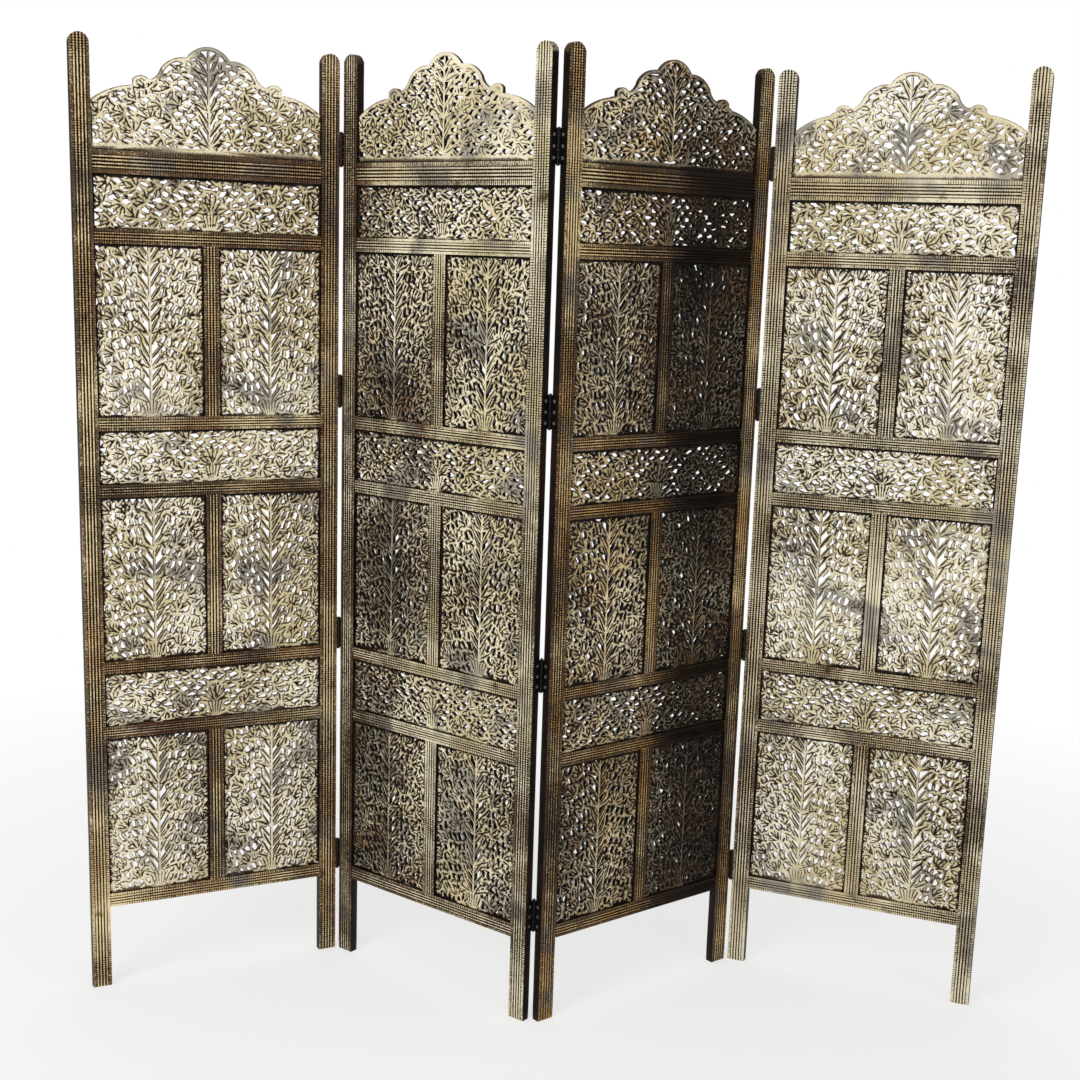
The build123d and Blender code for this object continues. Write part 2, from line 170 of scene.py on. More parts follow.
# ---------------------------------------------------------------- places and meshes
@dataclass(frozen=True)
class LeafPlace:
    """Where a leaf stands: its turn in degrees, and a hinge pin it shares with a neighbour."""

    number: int
    turn: float
    joint: str
    pin: tuple[float, float]

    @property
    def body(self) -> str:
        """CAD body that the leaf's pieces ride on."""
        return f"leaf_{self.number}"

    def to_room(self, local: Array) -> Array:
        """Points of the leaf's frame in the room.

        The leaf's frame is turned about +Z, and moved so that the pin's local point falls on its joint.

        Args:
            local: across, depth and height of each point, in mm.

        Returns:
            The same points in metres in the room.
        """
        angle = np.radians(self.turn)
        along = np.array([np.cos(angle), np.sin(angle)])
        back = np.array([-np.sin(angle), np.cos(angle)])
        joint = next(j for j in frame["joints"] if j["name"] == self.joint)
        corner = np.array(joint["pos_m"][:2]) * 1000.0 - self.pin[0] * along - self.pin[1] * back
        plan = corner + local[:, :1] * along + local[:, 1:2] * back
        return np.column_stack([plan, local[:, 2]]) / 1000.0


def grid_faces(rows: int, columns: int, closed: bool) -> Array:
    """Quads of a grid whose point number is row times columns plus column.

    Args:
        rows: number of rows of points.
        columns: number of points in a row.
        closed: whether the last column joins the first.

    Returns:
        Four point numbers for each quad.
    """
    last = columns if closed else columns - 1
    row, column = np.meshgrid(np.arange(rows - 1), np.arange(last), indexing="ij")
    near, far = row * columns, (row + 1) * columns
    after = (column + 1) % columns
    return np.stack([near + column, near + after, far + after, far + column], axis=-1).reshape(-1, 4)


@dataclass
class MeshDraft:
    """Grows one mesh from whole arrays. Paint says how much of the pale coat a corner keeps, from 0 to 1."""

    points: list[Array] = field(default_factory=list)
    corners: list[Array] = field(default_factory=list)
    sizes: list[Array] = field(default_factory=list)
    charts: list[Array] = field(default_factory=list)
    paint: list[Array] = field(default_factory=list)
    count: int = 0

    def add(self, points: Array, parts: list[tuple[Array, Array, Array]]) -> None:
        """Adds one closed shell, turned so that it encloses a positive volume.

        Args:
            points: the shell's points in the leaf's frame.
            parts: faces, and the chart (two numbers) and paint of each face's corners.
        """
        volume = 0.0
        for faces, _, _ in parts:
            first = points[faces[:, 0]]
            for k in range(1, faces.shape[1] - 1):
                cross = np.cross(points[faces[:, k]], points[faces[:, k + 1]])
                volume += float(np.einsum("ij,ij->", first, cross))
        for faces, chart, paint in parts:
            order = slice(None) if volume > 0 else slice(None, None, -1)
            self.corners.append(faces[:, order].ravel() + self.count)
            self.sizes.append(np.full(len(faces), faces.shape[1]))
            self.charts.append(chart[:, order].reshape(-1, 2))
            self.paint.append(paint[:, order].ravel())
        self.points.append(points)
        self.count += len(points)

    def make(self, name: str, place: LeafPlace, crease: float) -> bpy.types.Object:
        """The finished object, at the origin, with its place in its mesh.

        Args:
            name: name of the piece.
            place: where the leaf stands.
            crease: edges bent by more than this many degrees stay sharp.

        Returns:
            The new object.
        """
        points = place.to_room(np.vstack(self.points)).astype(np.float32)
        corners = np.concatenate(self.corners).astype(np.int32)
        sizes = np.concatenate(self.sizes).astype(np.int32)
        mesh = bpy.data.meshes.new(name)
        mesh.vertices.add(len(points))
        mesh.vertices.foreach_set("co", points.ravel())
        mesh.loops.add(len(corners))
        mesh.loops.foreach_set("vertex_index", corners)
        mesh.polygons.add(len(sizes))
        mesh.polygons.foreach_set("loop_start", np.concatenate([[0], np.cumsum(sizes)[:-1]]).astype(np.int32))
        mesh.polygons.foreach_set("loop_total", sizes)
        mesh.polygons.foreach_set("use_smooth", np.ones(len(sizes), bool))
        chart = mesh.uv_layers.new(name="chart")
        chart.data.foreach_set("uv", np.vstack(self.charts).astype(np.float32).ravel())
        paint = mesh.attributes.new("paint", "FLOAT", "CORNER")
        paint.data.foreach_set("value", np.concatenate(self.paint).astype(np.float32))
        mesh.update(calc_edges=True)
        mesh.set_sharp_from_angle(angle=float(np.radians(crease)))
        piece = bpy.data.objects.new(name, mesh)
        bpy.context.scene.collection.objects.link(piece)
        return piece


# ---------------------------------------------------------------- finishes
@dataclass
class NodeBench:
    """Short ways to lay out the nodes of one tree."""

    tree: bpy.types.NodeTree

    @classmethod
    def clear(cls, holder: bpy.types.Material | bpy.types.World) -> "NodeBench":
        """Empties the node tree of a material or a world.

        Args:
            holder: the material or world.

        Returns:
            Bench on its tree.
        """
        holder.use_nodes = True
        holder.node_tree.nodes.clear()
        return cls(holder.node_tree)

    def node(self, kind: str, inputs: dict | None = None, **settings: object) -> bpy.types.Node:
        """Adds a node.

        Args:
            kind: the node's type name, without its ShaderNode prefix.
            inputs: value or link for each input, by name or number.
            settings: the node's own properties.

        Returns:
            The new node.
        """
        made = self.tree.nodes.new("ShaderNode" + kind)
        for name, value in settings.items():
            setattr(made, name, value)
        for name, value in (inputs or {}).items():
            socket = made.inputs[name]
            if isinstance(value, bpy.types.NodeSocket):
                self.tree.links.new(value, socket)
            else:
                socket.default_value = value
        return made

    def maths(self, operation: str, first: object, second: object = 0.0) -> bpy.types.NodeSocket:
        """Result of one sum on one or two numbers or links."""
        return self.node("Math", {0: first, 1: second}, operation=operation).outputs[0]

    def mix(self, share: object, first: object, second: object) -> bpy.types.NodeSocket:
        """Colour between two colours or links, by a share from 0 to 1."""
        return self.node("Mix", {0: share, 6: first, 7: second}, data_type="RGBA").outputs[2]

    def spread(self, value: object, low: float, high: float) -> bpy.types.NodeSocket:
        """Value eased from 0 at low to 1 at high."""
        return self.node("MapRange", {0: value, 1: low, 2: high}, interpolation_type="SMOOTHSTEP").outputs[0]

    def span(self, value: object, low: float, high: float) -> bpy.types.NodeSocket:
        """Value of 0 to 1 carried in a straight line to low and high."""
        return self.node("MapRange", {0: value, 3: low, 4: high}).outputs[0]

    def noise(self, where: object, cloud: Cloud) -> bpy.types.NodeSocket:
        """Cloudy noise around 0.5."""
        settings = dict(zip(("Scale", "Detail", "Roughness"), cloud.value))
        return self.node("TexNoise", {"Vector": where, **settings}).outputs["Fac"]

    def stretched(self, where: object, height: float) -> bpy.types.NodeSocket:
        """Place with its height shrunk by a factor, so that a noise on it is drawn out upright."""
        return self.node("Mapping", {0: where, 3: (1.0, 1.0, height)}).outputs[0]

    def seen(self, *rays: str) -> bpy.types.NodeSocket:
        """1 for light of some kinds and 0 for other light.

        Args:
            rays: names of the kinds, as Light Path has them.

        Returns:
            Link with the greatest of their flags.
        """
        flags = self.node("LightPath").outputs
        greatest = flags[rays[0]]
        for ray in rays[1:]:
            greatest = self.maths("MAXIMUM", greatest, flags[ray])
        return greatest


@dataclass(frozen=True)
class AgedPaint:
    """Dark stained wood under a dry-brushed pale coat, worn to the stain in hollows and in patches.

    Fields:
        stain, pale, gold, grey, brown: screen colours of the stain and of the coat from place to place.
        wash: screen colour of the thin coat that is left where it is worn.
        wear: how much of the coat is worn away.
        span: over how much paint it thins out.
        patchiness: how strongly it varies from place to place.
        shade_ramp: two places along X between which the coat is darkened more and more by painted shade,
            towards the leaf's back end, and how much.
        whole: place along X past which that painted shade ends.
        hollow: paint on the walls of the piercings; a cut keeps at most a fifth less.
        top_light: how much paler the coat is made above the crest rail, as painted light on the top of the
            screen.
    """

    name: str
    stain: Screen = (14, 9, 6)
    pale: Screen = (236, 226, 196)
    gold: Screen = (212, 198, 158)
    grey: Screen = (158, 153, 140)
    brown: Screen = (98, 74, 52)
    wash: Screen = (118, 110, 93)
    wear: float = 0.5
    span: float = 0.34
    patchiness: float = 0.5
    shade_ramp: tuple[float, float, float] = (0.0, 1.0, 0.0)
    whole: float = 9.0
    hollow: float = -0.08
    top_light: float = 0.0

    def coat(self, bench: NodeBench, where: bpy.types.NodeSocket) -> bpy.types.NodeSocket:
        """Colour of the pale coat: cream drifting to gold, green-grey and red-brown.

        Args:
            bench: the material's bench.
            where: place in the object, in metres.

        Returns:
            Link with the coat's colour.
        """
        golden = bench.spread(bench.noise(where, Cloud.GOLD_DRIFT), 0.38, 0.62)
        tone = bench.mix(golden, linear(*self.pale), linear(*self.gold))
        mossy = bench.spread(bench.noise(where, Cloud.GREY_DRIFT), 0.51, 0.68)
        tone = bench.mix(mossy, tone, linear(*self.grey))
        rusty = bench.spread(bench.noise(where, Cloud.BROWN_SPOTS), 0.6, 0.8)
        return bench.mix(rusty, tone, linear(*self.brown))

    def kept(self, bench: NodeBench, where: bpy.types.NodeSocket, high: object) -> bpy.types.NodeSocket:
        """How well a place has kept its coat: better on high places, worse in hollows and worn patches, lower
        still under painted shade along X and higher under painted light above the crest rail.

        Args:
            bench: the material's bench.
            where: place in the object, in metres.
            high: link with the paint of the surface, 0 in a hollow and 1 on a crest.

        Returns:
            Link with a number around 0 where nothing is left and around 1 where all is.
        """
        kept = high
        for cloud, strength in ((Cloud.WORN_PATCHES, 2.2 * self.patchiness), (Cloud.BRUSH_GRIT, 0.8)):
            swing = bench.maths("SUBTRACT", bench.noise(where, cloud), 0.5)
            kept = bench.maths("ADD", kept, bench.maths("MULTIPLY", swing, strength))
        # Painted shade: the coat darkens between the two places along X, towards the leaf's back end, up to
        # the place where it stops.
        axes = bench.node("SeparateXYZ", {0: where}).outputs
        painted_shade = bench.maths("MULTIPLY", bench.spread(axes[0], self.shade_ramp[0], self.shade_ramp[1]), self.shade_ramp[2])
        painted_shade = bench.maths("MULTIPLY", painted_shade, bench.maths("LESS_THAN", axes[0], self.whole))
        # Painted light: the coat grows paler above the crest rail, as if the top were better lit.
        more = bench.maths("MULTIPLY", bench.spread(axes[2], 1.56, 1.7), self.top_light)
        return bench.maths("ADD", bench.maths("SUBTRACT", kept, painted_shade), more)

    def build(self) -> bpy.types.Material:
        """The finish as a material.

        Returns:
            The new material.
        """
        material = bpy.data.materials.new(self.name)
        bench = NodeBench.clear(material)
        where = bench.node("TexCoord").outputs["Object"]
        high = bench.node("Attribute", attribute_name="paint").outputs["Fac"]
        # Paint below -0.1, on the members' sides and the boards' plain border, is pushed lower still: more
        # painted shade in those corners.
        corner = bench.maths("MULTIPLY", bench.maths("MINIMUM", bench.maths("ADD", high, 0.1), 0.0), 3.0)
        wall = bench.node("Math", {0: high, 1: WALL_PAINT, 2: 0.02}, operation="COMPARE").outputs[0]
        high = bench.maths("ADD", high, bench.maths("MULTIPLY", wall, self.hollow - WALL_PAINT))
        high = bench.maths("MAXIMUM", high, self.hollow - 0.2)
        high = self.relieve(bench, where, high)
        kept = bench.maths("ADD", self.kept(bench, where, high), corner)
        washed = bench.spread(kept, self.wear - 0.34, self.wear - 0.02)
        cover = bench.spread(kept, self.wear, self.wear + self.span)
        dusk = bench.spread(bench.noise(where, Cloud.STAIN_DEPTH), 0.35, 0.7)
        stain = bench.mix(dusk, linear(*self.stain), linear(*(int(value * 0.36) for value in self.brown)))
        wash = bench.mix(dusk, linear(*self.wash), linear(*self.brown))
        colour = bench.mix(cover, bench.mix(washed, stain, wash), self.coat(bench, where))
        rough = bench.span(cover, 0.5, 0.62)
        grain = bench.noise(bench.stretched(where, 0.12), Cloud.WOOD_GRAIN)
        height = bench.maths("MULTIPLY", grain, 0.35)
        for raised, strength in ((cover, 0.5), (high, 0.9)):
            height = bench.maths("ADD", height, bench.maths("MULTIPLY", raised, strength))
        bump = bench.node("Bump", {"Strength": 0.6, "Distance": 0.0012, "Height": height}).outputs[0]
        shader = bench.node("BsdfPrincipled", {"Base Color": colour, "Roughness": rough, "Normal": bump})
        shader.inputs["Specular IOR Level"].default_value = 0.13
        bench.node("OutputMaterial", {"Surface": shader.outputs[0]})
        return material

    def relieve(self, bench: NodeBench, where: bpy.types.NodeSocket, high: object) -> object:
        """Paint high to near the bottom of a cut: one minus the power 1.6 of one minus the paint."""
        depth = bench.maths("SUBTRACT", 1.0, high)
        return bench.maths("SUBTRACT", 1.0, bench.maths("POWER", depth, 1.6))


@dataclass(frozen=True)
class ReededPaint(AgedPaint):
    """The same coat on reeds that are nicked across, bead after bead.

    Tick is the distance between nicks in metres; the chart's second number runs along the member.
    """

    brown: Screen = (88, 58, 35)
    wash: Screen = (88, 72, 51)
    span: float = 0.24
    tick: float = 0.0046
    nick: float = 0.42

    def relieve(self, bench: NodeBench, where: bpy.types.NodeSocket, high: object) -> object:
        """Paint lowered in the nicks: a cosine along the member, strongest where the nicking is fresh.

        Args:
            bench: the material's bench.
            where: place in the object, in metres.
            high: link with the paint of the surface.

        Returns:
            Link with the lowered paint.
        """
        chart = bench.node("SeparateXYZ", {0: bench.node("UVMap", uv_map="chart").outputs[0]})
        sway = bench.maths("MULTIPLY", bench.noise(where, Cloud.NICK_SWAY), 0.004)
        along = bench.maths("ADD", chart.outputs[1], sway)
        wave = bench.maths("COSINE", bench.maths("MULTIPLY", along, 2 * np.pi / self.tick))
        cut = bench.spread(wave, 0.1, 0.95)
        fresh = bench.spread(bench.noise(where, Cloud.FRESH_NICKS), 0.34, 0.6)
        depth = bench.maths("MULTIPLY", cut, bench.maths("MULTIPLY", fresh, self.nick))
        return bench.maths("SUBTRACT", high, depth)


@dataclass(frozen=True)
class Iron:
    """Hinge metal: colour worn bright along scratches, with a little rust."""

    name: str
    colour: Screen
    worn: Screen
    rust: Screen
    rusting: float
    roughness: float

    def build(self) -> bpy.types.Material:
        """The finish as a material.

        Returns:
            The new material.
        """
        material = bpy.data.materials.new(self.name)
        bench = NodeBench.clear(material)
        where = bench.node("TexCoord").outputs["Object"]
        worn = bench.spread(bench.noise(bench.stretched(where, 0.2), Cloud.SCRATCHES), 0.56, 0.72)
        rust = bench.spread(bench.noise(where, Cloud.RUST), self.rusting, self.rusting + 0.12)
        colour = bench.mix(worn, linear(*self.colour), linear(*self.worn))
        colour = bench.mix(rust, colour, linear(*self.rust))
        rough = bench.span(rust, self.roughness, 0.85)
        skin = bench.noise(where, Cloud.FORGED_SKIN)
        bump = bench.node("Bump", {"Strength": 0.25, "Distance": 0.0003, "Height": skin}).outputs[0]
        shader = bench.node("BsdfPrincipled", {"Base Color": colour, "Roughness": rough, "Normal": bump})
        shader.inputs["Metallic"].default_value = 0.8
        bench.node("OutputMaterial", {"Surface": shader.outputs[0]})
        return material


# ---------------------------------------------------------------- reeded members
@dataclass(frozen=True)
class ReededSection:
    """Section of a member: round reeds on both faces, between plain strips with eased corners."""

    width: float
    thickness: float
    reeds: int
    edge_flat: float
    groove: float = 1.5
    ease: float = 1.3

    def face(self) -> tuple[Array, Array]:
        """One face from edge to edge.

        Across a reed the depth is the groove times one minus the sine, to the power 1.2, of the way across
        it, so that crests and grooves are about equally wide. At the corners it follows a quarter circle.

        Returns:
            Place across and depth below the face of each point.
        """
        pitch = (self.width - 2 * self.edge_flat) / self.reeds
        phase = np.array([0.0, 0.1, 0.28, 0.5, 0.72, 0.9])
        across = (self.edge_flat + (np.arange(self.reeds)[:, None] + phase) * pitch).ravel()
        depth = np.tile(self.groove * (1 - np.sin(np.pi * phase) ** 1.2), self.reeds)
        corner = self.ease * np.array([0.0, 0.3, 1.0])
        dip = self.ease - np.sqrt(self.ease**2 - (self.ease - corner) ** 2)
        left = np.concatenate([corner, [self.edge_flat - 0.5 * pitch * 0.1]])
        drop = np.concatenate([dip[:-1], [0.45, 0.5]])
        across = np.concatenate([left, across, [self.width - self.edge_flat], self.width - left[::-1]])
        depth = np.concatenate([drop, depth, [self.groove], drop[::-1]])
        return across, depth


@dataclass(frozen=True)
class Member:
    """Straight reeded member, drawn as across, depth and along, then laid into the leaf's frame."""

    section: ReededSection
    start: float
    end: float
    seed: int
    rows: int = 40
    round_top: bool = False

    def stations(self, across: Array) -> Array:
        """Where along the member each row's points lie.

        Rows are evenly spaced. Under a round top the rows within three widths of the end are drawn together,
        so that the last follows a half circle over the width.

        Args:
            across: place across of the points in a row.

        Returns:
            Place along of each point of each row, the last row twice.
        """
        share = np.concatenate([np.linspace(0, 1, self.rows), [1.0]])[:, None]
        along = self.start + share * (self.end - self.start) + np.zeros_like(across)
        if not self.round_top:
            return along
        radius = self.section.width / 2
        reach = self.end - radius + np.sqrt(np.maximum(radius**2 - (across - radius) ** 2, 0.0))
        bend = self.end - 3 * self.section.width
        top = np.clip((along - bend) / (self.end - bend), 0, 1)
        return np.where(along < bend, along, bend + top * (reach - bend))

    def shell(self) -> tuple[Array, list[tuple[Array, Array, Array]]]:
        """Points and faces of the member.

        The section is carried along in rows. Its depth breathes by a tenth of a millimetre or two with the
        sum of two sines along the member, and is eased at both ends.

        Returns:
            Points as across, depth, along; and the parts that MeshDraft.add takes.
        """
        across, depth = self.section.face()
        count = len(across)
        ring_across = np.concatenate([across, across[::-1]])
        ring_depth = np.concatenate([depth, self.section.thickness - depth[::-1]])
        along = self.stations(ring_across)
        phase = self.seed * 1.7 + ring_across / 9.0
        breath = 0.1 * np.sin(along / 31.0 + phase) + 0.08 * np.sin(along / 11.0 + 2.1 * phase)
        outward = np.where(np.arange(2 * count) < count, 1.0, -1.0)
        swell = np.tile(ring_depth, (self.rows + 1, 1)) + outward * (0.2 + breath)
        ends = np.zeros((self.rows + 1, 1))
        ends[[0, -1]] = 1.0
        swell = swell + ends * outward * END_EASE
        along[-2] -= END_EASE
        points = np.stack([np.tile(ring_across, (self.rows + 1, 1)), swell, along], axis=-1).reshape(-1, 3)
        faces = grid_faces(self.rows + 1, 2 * count, True)
        relief = np.concatenate([1 - depth / self.section.groove, (1 - depth / self.section.groove)[::-1]])
        paint = np.clip(relief, 0, 1)[faces % (2 * count)]
        column = faces[:, 0] % (2 * count)
        side = (column == count - 1) | (column == 2 * count - 1)
        # The members' sides are painted dark: painted shade beside the recessed boards and under the rails.
        paint[side] = SIDE_SHADE_PAINT
        chart = np.column_stack([points[:, 0], points[:, 2] + 37.0 * self.seed])[faces] / 1000.0
        step = np.arange(count - 1)
        cap = np.stack([step, 2 * count - 1 - step, 2 * count - 2 - step, step + 1], axis=-1)
        caps = np.vstack([cap, cap[:, ::-1] + self.rows * 2 * count])
        cap_chart = points[caps][:, :, :2] / 1000.0
        return points, [(faces, chart, paint), (caps, cap_chart, np.full(caps.shape, END_PAINT))]


# ---------------------------------------------------------------- carved boards
def left_of(line: Array) -> Array:
    """Unit normals to the left of a line of points: its slope turned by a quarter, over its length."""
    run = np.gradient(line, axis=0)
    return np.column_stack([-run[:, 1], run[:, 0]]) / np.hypot(run[:, 0], run[:, 1])[:, None]


@dataclass
class Carving:
    """Flat pattern that a board is cut to: blades with a cut midrib, rounded strips and plain plates.

    It is drawn in mm about the foot of the board's middle: x to the right, z up.
    """

    blades: list[Array] = field(default_factory=list)
    strips: list[Array] = field(default_factory=list)
    plates: list[Array] = field(default_factory=list)
    points: list[Array] = field(default_factory=list)
    links: list[Array] = field(default_factory=list)
    crests: list[Array] = field(default_factory=list)
    ribs: list[Array] = field(default_factory=list)
    hearts: list[Array] = field(default_factory=list)
    count: int = 0
    groove: float = 1.8

    @staticmethod
    def breadth(share: Array, thorn: Array) -> Array:
        """Breadth of a blade along its length, from 0 to 1.

        It follows straight lines through the breadths of a leaf or a thorn at their stations.

        Args:
            share: place along the blade.
            thorn: whether the blade is a thorn of the web.

        Returns:
            Breadth at each place.
        """
        leaf = np.interp(share, LEAF_STATIONS, LEAF_BREADTHS)
        return np.where(thorn, np.interp(share, THORN_STATIONS, THORN_BREADTHS), leaf)

    def hold(self, points: Array) -> int:
        """Keeps points of the pattern.

        Args:
            points: the points.

        Returns:
            Number of the first.
        """
        first = self.count
        self.points.append(points)
        self.count += len(points)
        return first

    def add_blades(self, base: Array, tip: Array, half: Array, bow: Array, lift: Array, cut: float) -> None:
        """Adds leaf blades.

        A blade's middle line bows from its chord by four s (1 - s); its sides stand off by breadth(s).

        Args:
            base, tip: ends of each blade.
            half: half of the greatest breadth.
            bow: how far the middle line bows to the left of its chord.
            lift: how far the blade's crest lies below the board's face, 0 or negative.
            cut: depth of the cut along its midrib, or, where negative, the fall from its back to its edges.
        """
        run = tip - base
        length = np.hypot(run[:, 0], run[:, 1])
        long = length > SHORTEST_BLADE
        base, run, length, half, bow, lift = (each[long] for each in (base, run, length, half, bow, lift))
        unit = run / length[:, None]
        normal = np.column_stack([-unit[:, 1], unit[:, 0]])
        s = np.array(LEAF_STATIONS if cut > 0 else THORN_STATIONS)
        middle = base[:, None] + s[None, :, None] * run[:, None]
        middle = middle + (bow[:, None] * 4 * s * (1 - s))[:, :, None] * normal[:, None]
        off = (half[:, None] * self.breadth(s, cut < 0))[:, :, None] * normal[:, None]
        sides = slice(1, -1) if cut > 0 else slice(0, -1)
        ribs = middle[:, 1:-1]
        ends = [middle[:, :1], middle[:, -1:]] if cut > 0 else [middle[:, :0], middle[:, -1:]]
        left, right = (middle + off)[:, sides], (middle - off)[:, sides]
        ring = np.concatenate([ends[0], left, ends[1], right[:, ::-1]], axis=1)
        blades, outline = ring.shape[:2]
        ring = np.concatenate([ring, ribs], axis=1)
        width = ring.shape[1]
        number = self.hold(ring.reshape(-1, 2)) + np.arange(blades)[:, None, None] * width
        around = np.arange(outline)
        links = np.column_stack([around, np.roll(around, -1)])
        self.links.append((number + links[None]).reshape(-1, 2))
        self.hearts.append(number[:, 0, 0] + outline)
        self.crests.append(number[:, 0, 0] + outline)
        if cut > 0:
            rib = np.concatenate([[0], np.arange(outline, width), [len(s) - 1]])
            rib_links = (number + np.column_stack([rib[:-1], rib[1:]])[None]).reshape(-1, 2)
            self.links.append(rib_links)
            self.ribs.append(rib_links)
            self.crests.append((number[:, :, 0] + np.arange(width)).ravel())
        self.blades.append(np.column_stack([base, unit, length, half, bow, lift, np.full(blades, cut)]))

    def add_strip(self, outer: Array, inner: Array, lift: float) -> None:
        """Adds a rounded strip between two lines of as many points.

        Args:
            outer, inner: the strip's two edges.
            lift: how far its back lies below the board's face, 0 or negative.
        """
        middle = (outer + inner) / 2
        rows = len(outer)
        number = self.hold(np.vstack([outer, middle, inner])) + np.arange(3 * rows).reshape(3, rows)
        self.crests.append(number[1])
        lengthwise = np.stack([number[:, :-1], number[:, 1:]], axis=-1).reshape(-1, 2)
        self.links += [lengthwise, np.stack([number[:-1], number[1:]], axis=-1).reshape(-1, 2)]
        half = np.hypot(*(outer - inner).T) / 2
        self.strips.append(np.column_stack([
            middle[:-1], middle[1:], (half[:-1] + half[1:]) / 2, np.full(rows - 1, lift),
        ]))

    def add_stem(self, line: Array, half: float, lift: float) -> None:
        """Adds a rounded stem of one breadth.

        Args:
            line: points of its middle.
            half: half of its breadth.
            lift: how far its back lies below the board's face, 0 or negative.
        """
        normal = left_of(line)
        self.add_strip(line + half * normal, line - half * normal, lift)

    def add_plates(self, quads: Array, level: float) -> None:
        """Adds plain four-sided plates.

        Args:
            quads: four corners of each, counter-clockwise.
            level: how far they lie below the board's face, 0 or negative.
        """
        number = self.hold(quads.reshape(-1, 2)) + np.arange(len(quads) * 4).reshape(-1, 4)
        self.links.append(np.stack([number, np.roll(number, -1, axis=1)], axis=-1).reshape(-1, 2))
        self.crests.append(number.ravel())
        self.plates.append(np.concatenate([quads.reshape(-1, 8), np.full((len(quads), 1), level)], axis=1))

    def levels(self, where: Array, slack: float) -> Array:
        """Level of the carved face at points: the highest of the forms that cover each.

        A blade with a cut midrib falls to it from its edges in a straight V, one without falls from its back
        to its edges with the square of the way out, a strip with the fourth power, and a plate is level.
        The cut of a midrib also runs through whatever it crosses. Points and forms are matched tile by tile.

        Args:
            where: points of the pattern.
            slack: how far past a form's edge a point still counts, as a share of its half breadth.

        Returns:
            Level of each, 0 at the face, negative below it, and minus infinity where nothing covers it.
        """
        best = np.full(len(where), -np.inf)
        groups = (self.blades, self.strips, self.plates)
        blades, strips, plates = (np.vstack(group) if group else np.zeros((0, 9)) for group in groups)
        blade_middle = blades[:, :2] + blades[:, 2:4] * blades[:, 4:5] / 2
        blade_reach = blades[:, 4] / 2 + 1.0
        strip_middle = (strips[:, :2] + strips[:, 2:4]) / 2
        strip_reach = np.hypot(*(strips[:, :2] - strips[:, 2:4]).T) / 2 + strips[:, 4] + 1.0
        tile = np.floor(where / TILE).astype(int)
        names, owner = np.unique(tile, axis=0, return_inverse=True)
        order = np.argsort(owner.ravel(), kind="stable")
        bounds = np.searchsorted(owner.ravel()[order], np.arange(len(names) + 1))
        for name, low, high in zip(names, bounds[:-1], bounds[1:]):
            here = order[low:high]
            middle = (name + 0.5) * TILE
            near_blades = blades[np.hypot(*(blade_middle - middle).T) < blade_reach + TILE_REACH]
            near_strips = strips[np.hypot(*(strip_middle - middle).T) < strip_reach + TILE_REACH]
            leaf, cut = self.blade_levels(where[here], near_blades, slack)
            best[here] = np.minimum(cut, np.maximum.reduce([
                leaf, self.strip_levels(where[here], near_strips, slack),
                self.plate_levels(where[here], plates, slack),
            ]))
        return best

    def blade_levels(self, where: Array, blades: Array, slack: float) -> tuple[Array, Array]:
        """Level that the blades give at points, and how low their midribs are cut there.

        Args:
            where: points of the pattern.
            blades: a row for each blade, as add_blades keeps it.
            slack: how far past an edge a point still counts, as a share of the half breadth.

        Returns:
            Level of each point, minus infinity off the blades, and of the cut, infinity off the midribs.
        """
        if not len(blades):
            return np.full(len(where), -np.inf), np.full(len(where), np.inf)
        table = blades.T[:, None, :]
        x, z = where[:, :1] - table[0], where[:, 1:] - table[1]
        share = (x * table[2] + z * table[3]) / table[4]
        aside = -x * table[3] + z * table[2] - table[6] * 4 * share * (1 - share)
        breadth = self.breadth(share, table[8] < 0)
        way = np.abs(aside) / np.maximum(table[5] * breadth, 0.2)
        rib = table[8] * (1 - np.minimum(way, 1)) * np.minimum(1.6 * breadth, 1)
        level = table[7] - np.where(table[8] > 0, rib, -table[8] * np.minimum(way, 1) ** 2)
        inside = (share > -0.1 * slack) & (share < 1 + 0.1 * slack) & (way < 1 + slack)
        ribbed = (share > RIB_STATIONS[0]) & (share < RIB_STATIONS[1])
        ribbed &= (table[8] > 0) & (np.abs(aside) < RIB_HALF)
        cut = table[7] - table[8] * (1 - np.abs(aside) / RIB_HALF)
        return np.where(inside, level, -np.inf).max(axis=1), np.where(ribbed, cut, np.inf).min(axis=1)

    def strip_levels(self, where: Array, strips: Array, slack: float) -> Array:
        """Level that the strips give at points.

        Args:
            where: points of the pattern.
            strips: a row for each piece of a strip, as add_strip keeps it.
            slack: how far past an edge a point still counts, as a share of the half breadth.

        Returns:
            Level of each point, minus infinity off the strips.
        """
        if not len(strips):
            return np.full(len(where), -np.inf)
        table = strips.T[:, None, :]
        run_x, run_z = table[2] - table[0], table[3] - table[1]
        x, z = where[:, :1] - table[0], where[:, 1:] - table[1]
        share = np.clip((x * run_x + z * run_z) / (run_x**2 + run_z**2 + 1e-9), 0, 1)
        way = np.hypot(x - share * run_x, z - share * run_z) / table[4]
        level = table[5] - STRIP_FALL * np.minimum(way, 1) ** 4
        return np.where(way < 1 + slack, level, -np.inf).max(axis=1)

    def plate_levels(self, where: Array, plates: Array, slack: float) -> Array:
        """Level that the plates give at points.

        Args:
            where: points of the pattern.
            plates: a row for each plate, as add_plates keeps it.
            slack: how far past an edge a point still counts, as the cross product of side and offset.

        Returns:
            Level of each point, minus infinity off the plates.
        """
        corner = plates[:, :8].reshape(-1, 4, 2)
        side = np.roll(corner, -1, axis=1) - corner
        x = where[:, None, None, 0] - corner[None, :, :, 0]
        z = where[:, None, None, 1] - corner[None, :, :, 1]
        inside = (side[None, :, :, 0] * z - side[None, :, :, 1] * x > -slack).all(axis=2)
        return np.where(inside, plates[None, :, 8], -np.inf).max(axis=1)

